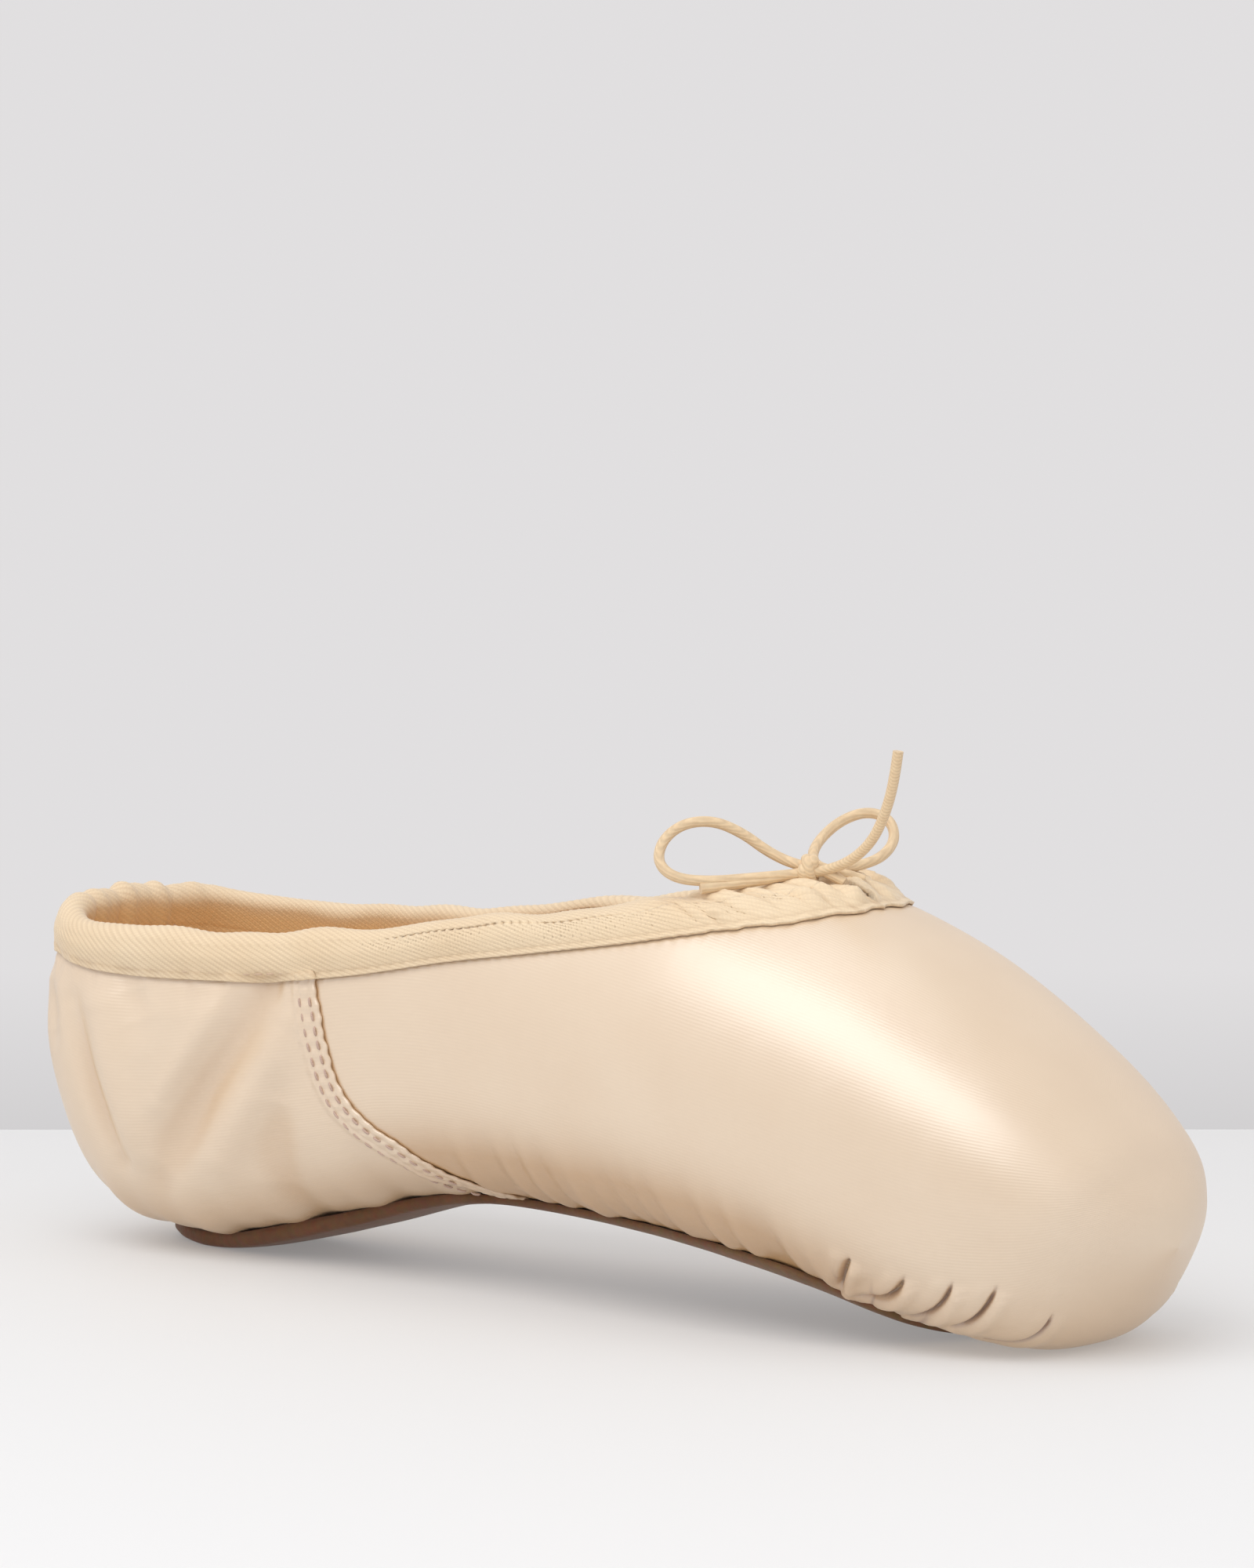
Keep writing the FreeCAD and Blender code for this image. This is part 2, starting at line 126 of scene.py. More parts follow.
def makeWall():
    # the wall is a little darker just above the floor
    world = bpy.data.worlds.new("studio")
    world.use_nodes = True
    tree = world.node_tree
    place = node(tree, "TexCoord")
    split = node(tree, "SeparateXYZ")
    tree.links.new(place.outputs["Generated"], split.inputs[0])
    shade = spread(tree, split.outputs["Z"], *studio["wallFade"], studio["wallShade"])
    tint = node(tree, "VectorMath", operation="SCALE")
    tint.inputs[0].default_value = studio["wallColour"]
    tree.links.new(shade, tint.inputs["Scale"])
    backdrop = tree.nodes["Background"]
    tree.links.new(tint.outputs[0], backdrop.inputs["Color"])
    backdrop.inputs["Strength"].default_value = studio["worldPower"]
    bpy.context.scene.world = world
    bpy.context.scene.view_settings.view_transform = "Standard"


def makeFloor():
    a = math.radians(camera["azimuth"])
    right = Vector((math.cos(a), math.sin(a), 0))
    back = Vector((-math.sin(a), math.cos(a), 0))
    reach, far = studio["floorReach"], studio["floorBack"]
    corners = [right * -reach - back * reach, right * reach - back * reach,
               right * reach + back * far, right * -reach + back * far]
    mesh = bpy.data.meshes.new("floor")
    mesh.from_pydata([tuple(c) for c in corners], [], [(0, 1, 2, 3)])
    floor = bpy.data.objects.new("floor", mesh)
    bpy.context.scene.collection.objects.link(floor)
    paint = bpy.data.materials.new("floorPaint")
    paint.use_nodes = True
    tree = paint.node_tree
    shader = tree.nodes["Principled BSDF"]
    shader.inputs["Base Color"].default_value = (*studio["floorColour"], 1)
    shader.inputs["Roughness"].default_value = 0.6
    shader.inputs["Emission Color"].default_value = (1, 1, 1, 1)
    place = node(tree, "TexCoord")
    depth = node(tree, "VectorMath", operation="DOT_PRODUCT")
    depth.inputs[1].default_value = back
    tree.links.new(place.outputs["Object"], depth.inputs[0])
    # painted light: the floor glows to lighten the shadows on it, a little less towards its back edge
    paintedLight = studio["floorPaintedLight"]
    fade = spread(tree, depth.outputs["Value"], far, far - studio["fadeOver"], paintedLight - studio["fadeBy"], paintedLight)
    tree.links.new(fade, shader.inputs["Emission Strength"])
    mesh.materials.append(paint)


makeCamera()
makeWall()
makeFloor()
for name in ("key", "fill", "front", "top"):
    makeLight(name, studio[name])
print("studio ready")

# the shape of the shoe, in millimetres

# bottom x and z, top x and z, half width, widest place, roundness below and above; heel to toe
sections = [
    (-116.0, 30.4, -114.8, 65.8, 0.0, 0.50, 2.0, 2.0),
    (-112.5, 16.9, -113.1, 69.9, 17.3, 0.50, 2.2, 2.2),
    (-104.4, 6.8, -107.3, 76.0, 24.1, 0.42, 2.4, 2.4),
    (-92.1, 3.1, -94.9, 80.2, 27.9, 0.36, 2.7, 2.6),
    (-75.5, 2.9, -76.6, 82.4, 28.5, 0.34, 2.9, 2.6),
    (-52.7, 7.9, -52.4, 82.8, 26.8, 0.34, 2.7, 2.4),
    (-26.4, 14.1, -24.4, 81.2, 26.6, 0.36, 2.6, 2.2),
    (0.6, 14.4, 5.5, 78.6, 29.6, 0.40, 2.6, 2.1),
    (30.4, 12.1, 38.1, 74.7, 34.2, 0.44, 2.7, 2.1),
    (57.0, 7.8, 67.3, 65.1, 34.6, 0.46, 2.8, 2.2),
    (79.6, 2.4, 92.5, 50.1, 31.1, 0.48, 2.9, 2.3),
    (92.6, 0.25, 107.9, 37.4, 25.7, 0.50, 2.9, 2.4),
    (99.4, 0.35, 113.5, 29.8, 19.9, 0.50, 2.7, 2.4),
    (105.2, 3.3, 116.4, 23.9, 11.2, 0.50, 2.4, 2.3),
    (110.9, 10.2, 116.6, 17.9, 0.0, 0.50, 2.0, 2.0),
]
topline = [
    (-125, 62.5), (-115.5, 62.3), (-110.5, 60.8), (-104.5, 59.0), (-96.5, 58.0), (-86.5, 57.8),
    (-71.5, 58.3), (-56.5, 58.8), (-36.5, 60.8), (-16.5, 63.6), (3.5, 66.4), (23.5, 69.4),
    (38.5, 71.9), (51.5, 74.2), (61.5, 76.5), (75, 79.5),
]
bindingEdge = [
    (-125, 53.5), (-115.5, 53.5), (-110.5, 52.6), (-104.5, 51.5), (-96.5, 50.5), (-86.5, 50.2),
    (-71.5, 50.4), (-56.5, 51.0), (-36.5, 53.6), (-16.5, 57.4), (3.5, 60.6), (23.5, 63.9),
    (38.5, 66.7), (55.5, 69.6), (61.5, 71.2), (75, 75.0),
]
sideSeam = [
    (6.0, -8.0), (13.5, -9.0), (16.3, -10.9), (18.2, -15.0), (20.2, -19.8), (22.5, -23.7), (25.2, -27.6),
    (27.8, -32.3), (30.8, -36.0), (34.6, -39.1), (41.8, -42.0), (46.3, -43.3), (52.1, -45.0),
    (60.0, -45.6), (84.0, -46.2),
]

widthSign = np.array([1, 1, 1, 1, -1, 1, 1, 1])
rows = np.array(sections)
guided = np.vstack([rows[1] * widthSign, rows, rows[-2] * widthSign])
lastRow = len(sections) - 1
quarterTurn = math.pi / 2
heelLean = 2.8  # how far the cord draws the top of the heel in
throatFront = 74.9  # the height lines stay level ahead of this x


def smoothStep(x, low, high):
    t = np.clip((x - low) / (high - low), 0, 1)
    return t * t * (3 - 2 * t)


def lineAt(table, x):
    # smooth height of a side view line at x
    t = np.array(table, float)
    slope = np.empty(len(t))
    slope[1:-1] = (t[2:, 1] - t[:-2, 1]) / (t[2:, 0] - t[:-2, 0])
    slope[0] = (t[1, 1] - t[0, 1]) / (t[1, 0] - t[0, 0])
    slope[-1] = (t[-1, 1] - t[-2, 1]) / (t[-1, 0] - t[-2, 0])
    k = np.clip(np.searchsorted(t[:, 0], x) - 1, 0, len(t) - 2)
    width = t[k + 1, 0] - t[k, 0]
    s = (x - t[k, 0]) / width
    rise = t[k, 1] * (2 * s ** 3 - 3 * s ** 2 + 1) + t[k + 1, 1] * (3 * s ** 2 - 2 * s ** 3)
    return rise + width * (slope[k] * (s ** 3 - 2 * s ** 2 + s) + slope[k + 1] * (s ** 3 - s ** 2))


def sectionAt(u):
    u = np.asarray(u, float)
    k = np.clip(np.floor(u).astype(int), 0, lastRow - 1)
    t = (u - k)[..., None]
    a, b, c, d = guided[k], guided[k + 1], guided[k + 2], guided[k + 3]
    return 0.5 * (2 * b + (c - a) * t + (2 * a - 5 * b + 4 * c - d) * t ** 2
                  + (3 * b - a - 3 * c + d) * t ** 3)


def formPoint(u, angle):
    # left half of the shoe; the angle runs from the sole to the top
    u, angle = np.broadcast_arrays(u, angle)
    q = sectionAt(u)
    c = np.maximum(np.cos(angle), 0)
    s = np.sin(angle)
    power = np.where(s < 0, 2 / q[..., 6], 2 / q[..., 7])
    reach = np.abs(s) ** power
    rise = np.where(s < 0, q[..., 5] * (1 - reach), q[..., 5] + (1 - q[..., 5]) * reach)
    x = q[..., 0] + (q[..., 2] - q[..., 0]) * rise
    z = q[..., 1] + (q[..., 3] - q[..., 1]) * rise
    x = x + heelLean * smoothStep(z, 46, 60) * (1 - smoothStep(x, -117, -95))
    return np.stack([x, np.maximum(q[..., 4], 0) * c ** power, z], -1)


def outward(u, angle):
    u, angle = np.broadcast_arrays(u, angle)
    turn = quarterTurn - 0.06
    uIn = np.clip(u, 0.06, lastRow - 0.06)
    angleIn = np.clip(angle, -turn, turn)
    du = formPoint(uIn + 0.03, angleIn) - formPoint(uIn - 0.03, angleIn)
    dv = formPoint(uIn, angleIn + 0.03) - formPoint(uIn, angleIn - 0.03)
    n = np.cross(dv, du)
    n[..., 1] = np.where(formPoint(u, angle)[..., 1] < 1e-6, 0, n[..., 1])
    return n / np.linalg.norm(n, axis=-1, keepdims=True)


def skin(u, angle, depth):
    # point on the skin moved in by a depth
    return formPoint(u, angle) - outward(u, angle) * np.asarray(depth)[..., None]


def topAngle(u, line, depth):
    # angle at which a section meets a height line, or the top of the foot ahead of the opening
    low = np.full(np.shape(u), -0.2)
    high = np.full(np.shape(u), quarterTurn)
    for i in range(36):
        middle = (low + high) / 2
        p = skin(u, middle, depth)
        under = p[..., 2] < line(p[..., 0])
        low = np.where(under, middle, low)
        high = np.where(under, high, middle)
    return np.where(low > quarterTurn - 1e-4, quarterTurn, low)


def angleTable(line, depth, shares):
    # for every cross-section, the angles that divide the skin at even shares of its length
    u = np.linspace(0, lastRow, 1401)
    top = topAngle(u, line, depth)
    fine = np.linspace(0, 1, 161)
    angles = -quarterTurn + (top[:, None] + quarterTurn) * fine
    p = skin(u[:, None], angles, np.full(angles.shape, depth))
    steps = np.linalg.norm(np.diff(p, axis=1), axis=2) + 1e-9
    run = np.concatenate([np.zeros((len(u), 1)), np.cumsum(steps, 1)], 1)
    table = np.array([np.interp(shares * r[-1], r, a) for r, a in zip(run, angles)])
    # away from the top edge the lines run on smoothly past the throat
    reach = 60
    weights = np.exp(-(np.arange(-reach, reach + 1) / 26) ** 2)
    weights /= weights.sum()
    padded = np.concatenate([np.repeat(table[:1], reach, 0), table, np.repeat(table[-1:], reach, 0)])
    calm = np.stack([np.convolve(column, weights, "valid") for column in padded.T], 1)
    near = smoothStep(np.minimum(u, lastRow - u), 0.3, 1.5)[:, None] * (1 - shares ** 6)
    return u, table + (calm - table) * near


def anglesFor(u, tableU, table):
    # look up the angle table; one column for each share
    return np.stack([np.interp(u[:, j], tableU, table[:, j]) for j in range(table.shape[1])], 1)


def ringPoints(line, depth, count):
    # evenly spaced points once round the opening, starting at the throat, left side first
    lowU, highU = 6.0, 11.0
    for i in range(40):
        u = (lowU + highU) / 2
        p = skin(u, quarterTurn, depth)
        if p[2] > line(p[0]):
            lowU = u
        else:
            highU = u
    u = lowU * (1 + np.cos(np.linspace(0, math.pi, 1201))) / 2
    p = skin(u, topAngle(u, line, depth), np.full(u.shape, depth))
    p[0, 1] = p[-1, 1] = 0
    run = np.concatenate([[0], np.cumsum(np.linalg.norm(np.diff(p, axis=0), axis=1))])
    want = np.linspace(0, run[-1], count // 2 + 1)
    left = np.stack([np.interp(want, run, p[:, i]) for i in range(3)], 1)
    right = left[-2:0:-1] * [1, -1, 1]
    return np.vstack([left, right])


# mesh helpers

def link(name, mesh, material=None):
    thing = bpy.data.objects.new(name, mesh)
    bpy.context.scene.collection.objects.link(thing)
    if material:
        mesh.materials.append(material)
    mesh.polygons.foreach_set("use_smooth", [True] * len(mesh.polygons))
    return thing


def gridFaces(rowCount, columnCount, closeRows=False, closeColumns=False, flip=False):
    faces = []
    for i in range(rowCount - (0 if closeRows else 1)):
        for j in range(columnCount - (0 if closeColumns else 1)):
            i2, j2 = (i + 1) % rowCount, (j + 1) % columnCount
            face = [i * columnCount + j, i2 * columnCount + j, i2 * columnCount + j2, i * columnCount + j2]
            faces.append(face[::-1] if flip else face)
    return faces


def gridMesh(name, points, material, closeRows=False, closeColumns=False, flip=False):
    mesh = bpy.data.meshes.new(name)
    faces = gridFaces(points.shape[0], points.shape[1], closeRows, closeColumns, flip)
    mesh.from_pydata((points.reshape(-1, 3) * mm).tolist(), [], faces)
    return link(name, mesh, material)


def settle(thing):
    # apply every modifier
    graph = bpy.context.evaluated_depsgraph_get()
    done = bpy.data.meshes.new_from_object(thing.evaluated_get(graph))
    thing.modifiers.clear()
    old = thing.data
    thing.data = done
    bpy.data.meshes.remove(old)
    done.polygons.foreach_set("use_smooth", [True] * len(done.polygons))
    return thing


def thicken(thing, thickness):
    shell = thing.modifiers.new("shell", "SOLIDIFY")
    shell.thickness = thickness * mm
    shell.offset = -1
    shell.use_even_offset = False
    return settle(thing)


def joinMeshes(name, parts, material):
    vertices, faces = [], []
    for v, f in parts:
        base = len(vertices)
        vertices += v
        faces += [[i + base for i in face] for face in f]
    mesh = bpy.data.meshes.new(name)
    mesh.from_pydata(vertices, [], faces)
    return link(name, mesh, material)


def bothSides(left):
    # add the right half to a left half whose first column is the sole's middle line
    right = left[:, :0:-1] * [1, -1, 1]
    return np.concatenate([right, left], 1)


print("shape ready")

# finishes

finishes = {
    # in each cloth the crease colour is painted shade for folds and grooves, and the warm colour is painted
    # shade with a warm bounce tint, laid on where the surface faces down or lies inside the shoe
    "satin": {"light": (0.79, 0.62, 0.435), "deep": (0.72, 0.53, 0.345), "creaseShade": (0.17, 0.045, 0.012),
              "paintedShade": (0.56, 0.33, 0.14), "roughness": 0.36, "gloss": 1.0, "reflects": 1.95,
              "weavePitch": 0.6, "weaveDepth": 0.018, "weaveShade": 0.978},
    "cotton": {"light": (0.86, 0.63, 0.36), "deep": (0.78, 0.53, 0.27), "creaseShade": (0.25, 0.13, 0.06),
               "paintedShade": (0.84, 0.53, 0.22), "roughness": 0.85, "gloss": 0.3, "weavePitch": 0.6,
               "weaveDepth": 0.08},
    "twill": {"light": (0.94, 0.79, 0.57), "deep": (0.84, 0.64, 0.41), "creaseShade": (0.42, 0.25, 0.12),
              "paintedShade": (0.86, 0.56, 0.25), "roughness": 0.6, "gloss": 0.4, "weavePitch": 0.45,
              "weaveDepth": 0.05},
    "cord": {"light": (0.86, 0.68, 0.44), "deep": (0.74, 0.53, 0.32), "roughness": 0.6, "gloss": 0.4},
    "thread": {"light": (0.66, 0.48, 0.39), "deep": (0.56, 0.39, 0.31), "roughness": 0.6, "gloss": 0.4},
    "paleThread": {"light": (0.80, 0.60, 0.43), "deep": (0.68, 0.48, 0.32), "roughness": 0.6, "gloss": 0.4},
    "leather": {"heel": (0.15, 0.062, 0.027), "middle": (0.135, 0.057, 0.024),
                "front": (0.17, 0.085, 0.038)},
    "card": {"light": (0.55, 0.40, 0.24), "deep": (0.42, 0.29, 0.17), "creaseShade": (0.2, 0.1, 0.05),
             "roughness": 0.9, "gloss": 0.2, "weavePitch": 1.4, "weaveDepth": 0.03},
}


def mixColour(tree, factor, first, second, blend="MIX"):
    made = node(tree, "Mix", data_type="RGBA", blend_type=blend)
    for socket, value in ((0, factor), (6, first), (7, second)):
        if isinstance(value, (tuple, list)):
            made.inputs[socket].default_value = (*value, 1)
        elif isinstance(value, (int, float)):
            made.inputs[socket].default_value = value
        else:
            tree.links.new(value, made.inputs[socket])
    return made.outputs[2]


def startFinish(name, roughness, gloss, sheen=0.0):
    material = bpy.data.materials.new(name)
    material.use_nodes = True
    shader = material.node_tree.nodes["Principled BSDF"]
    shader.inputs["Roughness"].default_value = roughness
    shader.inputs["Specular IOR Level"].default_value = gloss
    shader.inputs["Sheen Weight"].default_value = sheen
    shader.inputs["Sheen Roughness"].default_value = 0.4
    return material, material.node_tree, shader


def wornRoughness(tree, shader, source, roughness, swing):
    worn = spread(tree, source, 0, 1, roughness - swing, roughness + swing)
    tree.links.new(worn, shader.inputs["Roughness"])


def wovenFinish(name, look, sheen, crossed, slant):
    # cloth whose weave follows the piece's own cloth coordinates, in millimetres
    material, tree, shader = startFinish(name, look["roughness"], look["gloss"], sheen)
    shader.inputs["IOR"].default_value = look.get("reflects", 1.5)
    place = node(tree, "TexCoord")
    turned = node(tree, "Mapping")
    turned.inputs["Rotation"].default_value = (0, 0, math.radians(slant))
    tree.links.new(place.outputs["UV"], turned.inputs["Vector"])
    weave = node(tree, "TexWave", Scale=0.314 / look["weavePitch"], Distortion=0.6)
    weave.inputs["Detail Scale"].default_value = 0.5
    tree.links.new(turned.outputs["Vector"], weave.inputs["Vector"])
    height = weave.outputs["Fac"]
    if crossed:
        other = node(tree, "TexWave", Scale=0.314 / look["weavePitch"], Distortion=0.8)
        other.bands_direction = "Y"
        tree.links.new(turned.outputs["Vector"], other.inputs["Vector"])
        both = node(tree, "Math", operation="MULTIPLY")
        tree.links.new(weave.outputs["Fac"], both.inputs[0])
        tree.links.new(other.outputs["Fac"], both.inputs[1])
        height = both.outputs[0]
    cloud = node(tree, "TexNoise", Scale=55.0, Detail=4.0)
    tree.links.new(place.outputs["Object"], cloud.inputs["Vector"])
    slub = node(tree, "TexNoise", Scale=1.1, Detail=3.0)
    tree.links.new(turned.outputs["Vector"], slub.inputs["Vector"])
    body = mixColour(tree, cloud.outputs["Fac"], look["deep"], look["light"])
    body = mixColour(tree, 0.06, body, mixColour(tree, slub.outputs["Fac"], look["deep"], look["light"]))
    shade = spread(tree, height, 0, 1, look.get("weaveShade", 0.93))
    body = mixColour(tree, 1.0, body, shade, "MULTIPLY")
    # painted shade: a per-point mask mixes the colour towards the cloth's darker, warmer tint
    paintedShade = node(tree, "Attribute", attribute_name="paintedShade")
    body = mixColour(tree, paintedShade.outputs["Fac"], body, look.get("paintedShade", look["deep"]))
    # painted shade: creases, folds and grooves are darkened towards the cloth's deep crease colour
    creaseShade = node(tree, "Attribute", attribute_name="creaseShade")
    body = mixColour(tree, creaseShade.outputs["Fac"], body, look["creaseShade"])
    tree.links.new(body, shader.inputs["Base Color"])
    wornRoughness(tree, shader, cloud.outputs["Fac"], look["roughness"], 0.04)
    fine = node(tree, "Bump", Strength=0.6, Distance=look["weaveDepth"] * mm)
    tree.links.new(height, fine.inputs["Height"])
    soft = node(tree, "Bump", Strength=0.35, Distance=0.0006)
    tree.links.new(cloud.outputs["Fac"], soft.inputs["Height"])
    tree.links.new(fine.outputs["Normal"], soft.inputs["Normal"])
    tree.links.new(soft.outputs["Normal"], shader.inputs["Normal"])
    return material


def threadFinish(name, look, pitch):
    # fine twisted or braided strand
    material, tree, shader = startFinish(name, look["roughness"], look["gloss"], 0.25)
    place = node(tree, "TexCoord")
    turned = node(tree, "Mapping")
    turned.inputs["Rotation"].default_value = (0.6, 0.5, 0.9)
    tree.links.new(place.outputs["Object"], turned.inputs["Vector"])
    twist = node(tree, "TexWave", Scale=0.314 / (pitch * mm), Distortion=1.5)
    tree.links.new(turned.outputs["Vector"], twist.inputs["Vector"])
    grain = node(tree, "TexNoise", Scale=900.0, Detail=3.0)
    tree.links.new(place.outputs["Object"], grain.inputs["Vector"])
    body = mixColour(tree, grain.outputs["Fac"], look["deep"], look["light"])
    body = mixColour(tree, 0.15, body, twist.outputs["Color"], "MULTIPLY")
    tree.links.new(body, shader.inputs["Base Color"])
    wornRoughness(tree, shader, grain.outputs["Fac"], look["roughness"], 0.08)
    bump = node(tree, "Bump", Strength=0.5, Distance=0.00008)
    tree.links.new(twist.outputs["Fac"], bump.inputs["Height"])
    tree.links.new(bump.outputs["Normal"], shader.inputs["Normal"])
    return material


def leatherFinish(name, look):
    # sueded sole leather, dark at the heel and paler at the ball
    material, tree, shader = startFinish(name, 0.8, 0.35, 0.15)
    place = node(tree, "TexCoord")
    split = node(tree, "SeparateXYZ")
    tree.links.new(place.outputs["Object"], split.inputs["Vector"])
    along = spread(tree, split.outputs["X"], -0.09, 0.07)
    ramp = node(tree, "ValToRGB")
    ramp.color_ramp.elements[0].color = (*look["heel"], 1)
    ramp.color_ramp.elements[0].position = 0.05
    ramp.color_ramp.elements[1].color = (*look["front"], 1)
    ramp.color_ramp.elements[1].position = 0.8
    between = ramp.color_ramp.elements.new(0.42)
    between.color = (*look["middle"], 1)
    tree.links.new(along, ramp.inputs["Fac"])
    nap = node(tree, "TexNoise", Scale=700.0, Detail=6.0)
    scuff = node(tree, "TexNoise", Scale=60.0, Detail=5.0)
    grain = node(tree, "TexVoronoi", Scale=1100.0)
    for source in (nap, scuff, grain):
        tree.links.new(place.outputs["Object"], source.inputs["Vector"])
    body = mixColour(tree, 0.45, ramp.outputs["Color"], nap.outputs["Color"], "SOFT_LIGHT")
    faded = spread(tree, scuff.outputs["Fac"], 0.45, 1, 0, 0.3)
    body = mixColour(tree, faded, body, (0.36, 0.25, 0.15))
    tree.links.new(body, shader.inputs["Base Color"])
    wornRoughness(tree, shader, scuff.outputs["Fac"], 0.78, 0.12)
    rough = node(tree, "Bump", Strength=0.5, Distance=0.0002)
    tree.links.new(nap.outputs["Fac"], rough.inputs["Height"])
    pebble = node(tree, "Bump", Strength=0.3, Distance=0.0001)
    tree.links.new(grain.outputs["Distance"], pebble.inputs["Height"])
    tree.links.new(rough.outputs["Normal"], pebble.inputs["Normal"])
    tree.links.new(pebble.outputs["Normal"], shader.inputs["Normal"])
    return material


satinFinish = wovenFinish("peachSatin", finishes["satin"], 0.05, False, 86)
cottonFinish = wovenFinish("canvasLining", finishes["cotton"], 0.2, True, 0)
twillFinish = wovenFinish("twillBinding", finishes["twill"], 0.25, True, 35)
cardFinish = wovenFinish("pastedCard", finishes["card"], 0.05, True, 20)
cordFinish = threadFinish("cordSheath", finishes["cord"], 0.45)
threadPaint = threadFinish("sewingThread", finishes["thread"], 0.18)
paleThread = threadFinish("bindingThread", finishes["paleThread"], 0.18)
soleFinish = leatherFinish("soleLeather", finishes["leather"])
print("finishes ready")

# the two halves of the drawstring that show outside the binding

cordRoutes = {
    "bowCordRight": [
        (51.0, -2.6, 73.4), (48.6, -3.7, 75.0), (45.6, -4.6, 75.7), (41.8, -5.5, 76.4), (38.0, -6.8, 78.2),
        (34.8, -9.2, 81.2), (31.4, -12.8, 83.4), (28.0, -16.8, 83.0), (26.0, -20.0, 80.2),
        (26.6, -21.9, 76.6), (29.8, -21.2, 74.2), (34.4, -17.4, 73.7), (39.4, -11.8, 74.2),
        (43.6, -6.8, 74.6), (48.0, -4.2, 75.2), (52.4, -3.0, 76.9), (56.4, -2.2, 80.4), (59.0, -2.0, 85.3),
        (60.8, -2.0, 90.8), (61.6, -2.0, 95.9),
    ],
    "bowCordLeft": [
        (51.2, 2.6, 73.4), (48.2, -0.2, 74.8), (45.2, -2.4, 75.6), (42.8, -0.7, 77.3), (41.4, 3.6, 79.6),
        (42.2, 8.4, 82.4), (44.8, 12.4, 83.8), (48.2, 14.2, 82.6), (50.5, 12.8, 79.4), (51.0, 8.6, 76.8),
        (49.8, 3.8, 75.6), (47.4, -1.2, 75.2), (44.4, -5.6, 74.9), (40.8, -10.2, 73.9),
        (37.0, -14.8, 73.1), (33.6, -19.2, 72.6),
    ],
}
cords = {
    "diameter": 1.8, "lengthRight": 0.094, "lengthLeft": 0.0725,
    "knotCentre": (45.4, -4.8, 75.2), "knotAxis": (0.84, 0.53, 0.12), "knotHeight": 1.9, "knotWidth": 1.5,
}


def makeCord(name, cadNode):
    data = bpy.data.curves.new(name, "CURVE")
    data.dimensions = "3D"
    data.bevel_depth = cords["diameter"] * mm / 2
    data.bevel_resolution = 5
    data.resolution_u = 16
    data.use_fill_caps = True
    points = cordRoutes[name]
    line = data.splines.new("NURBS")
    line.points.add(len(points) - 1)
    for spot, p in zip(line.points, points):
        spot.co = (p[0] * mm, p[1] * mm, p[2] * mm, 1)
    line.order_u = 3
    line.use_endpoint_u = True
    data.materials.append(cordFinish)
    thing = bpy.data.objects.new(name, data)
    bpy.context.scene.collection.objects.link(thing)
    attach(thing, "rearfoot")
    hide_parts(cadNode)
    return thing


makeCord("bowCordRight", "bow_cord_right")
makeCord("bowCordLeft", "bow_cord_left")
print("cords ready")

# surface detail, in millimetres along the outward direction

thread = {"diameter": 0.45, "length": 1.8, "pitch": 2.6, "rows": (1.6, 3.8)}
seamHeights = np.linspace(6, 84, 240)
seamLine = np.stack([lineAt(sideSeam, seamHeights), seamHeights], 1)


def seamDistance(p):
    # how far ahead of the side seam's folded edge a point lies, in the side view
    flat = p[..., [0, 2]].reshape(-1, 2)
    ahead = flat[:, 0] - lineAt(sideSeam, np.clip(flat[:, 1], 6, 84))
    gap = np.abs(ahead)
    near = gap < 25
    if near.any():
        gap[near] = np.linalg.norm(flat[near][:, None] - seamLine[None], axis=2).min(1)
    return (gap * np.sign(ahead)).reshape(p.shape[:-1])


def stationWhere(test, tableU, table, lowU, highU):
    # cross-section number along every share line where a test turns false
    low = np.full(table.shape[1], lowU)
    high = np.full(table.shape[1], highU)
    for i in range(40):
        middle = (low + high) / 2
        p = formPoint(middle, anglesFor(middle[None, :], tableU, table)[0])
        keep = test(p)
        low = np.where(keep, middle, low)
        high = np.where(keep, high, middle)
    return (low + high) / 2


def seamStation(ahead, tableU, table):
    # where every share line comes this far ahead of the side seam
    return stationWhere(lambda p: seamDistance(p) < ahead, tableU, table, 3.0, 8.5)


def sideLineDistance(p, line):
    # distance in the side view from a broken line, and how far along it the nearest place is
    best = np.full(p.shape[:-1], 1e9)
    along = np.zeros(p.shape[:-1])
    for k in range(len(line) - 1):
        a, b = np.array(line[k], float), np.array(line[k + 1], float)
        ab = b - a
        q = p[..., [0, 2]] - a
        t = np.clip((q @ ab) / (ab @ ab), 0, 1)
        d = np.linalg.norm(q - t[..., None] * ab, axis=-1)
        along = np.where(d < best, (k + t) / (len(line) - 1), along)
        best = np.minimum(d, best)
    return best, along


heelWrinkles = {
    "strength": 1.9,
    # side view line, width, depth; a negative depth stands proud
    "right": [
        ([(-56, 50), (-63, 39), (-68.6, 31.9), (-74, 23), (-80.5, 14.7)], 4.6, 1.5),
        ([(-85, 48), (-83, 42)], 3.2, 0.6),
        ([(-53.6, 31), (-54.6, 22), (-55.5, 14)], 4.6, 1.0),
        ([(-100, 44), (-96, 32), (-89, 16.9)], 2.8, 1.1),
        ([(-92, 44), (-88, 30), (-84, 18)], 4.0, -0.8),
        ([(-62, 50), (-72, 36), (-78, 28)], 2.8, -0.7),
        ([(-50, 44), (-57, 32), (-66, 19)], 3.6, -0.8),
        ([(-110, 48), (-107, 38)], 2.6, 0.7),
    ],
    "left": [
        ([(-60, 50), (-66, 38), (-75, 24), (-84, 15)], 5.2, 1.2),
        ([(-52, 26), (-55, 17)], 4.4, 0.9),
        ([(-97, 46), (-94, 30), (-86, 14)], 3.2, 1.0),
        ([(-78, 48), (-80, 34)], 3.6, -0.7),
        ([(-88, 42), (-90, 26)], 3.2, -0.6),
        ([(-109, 47), (-106, 36)], 2.6, 0.6),
    ],
}
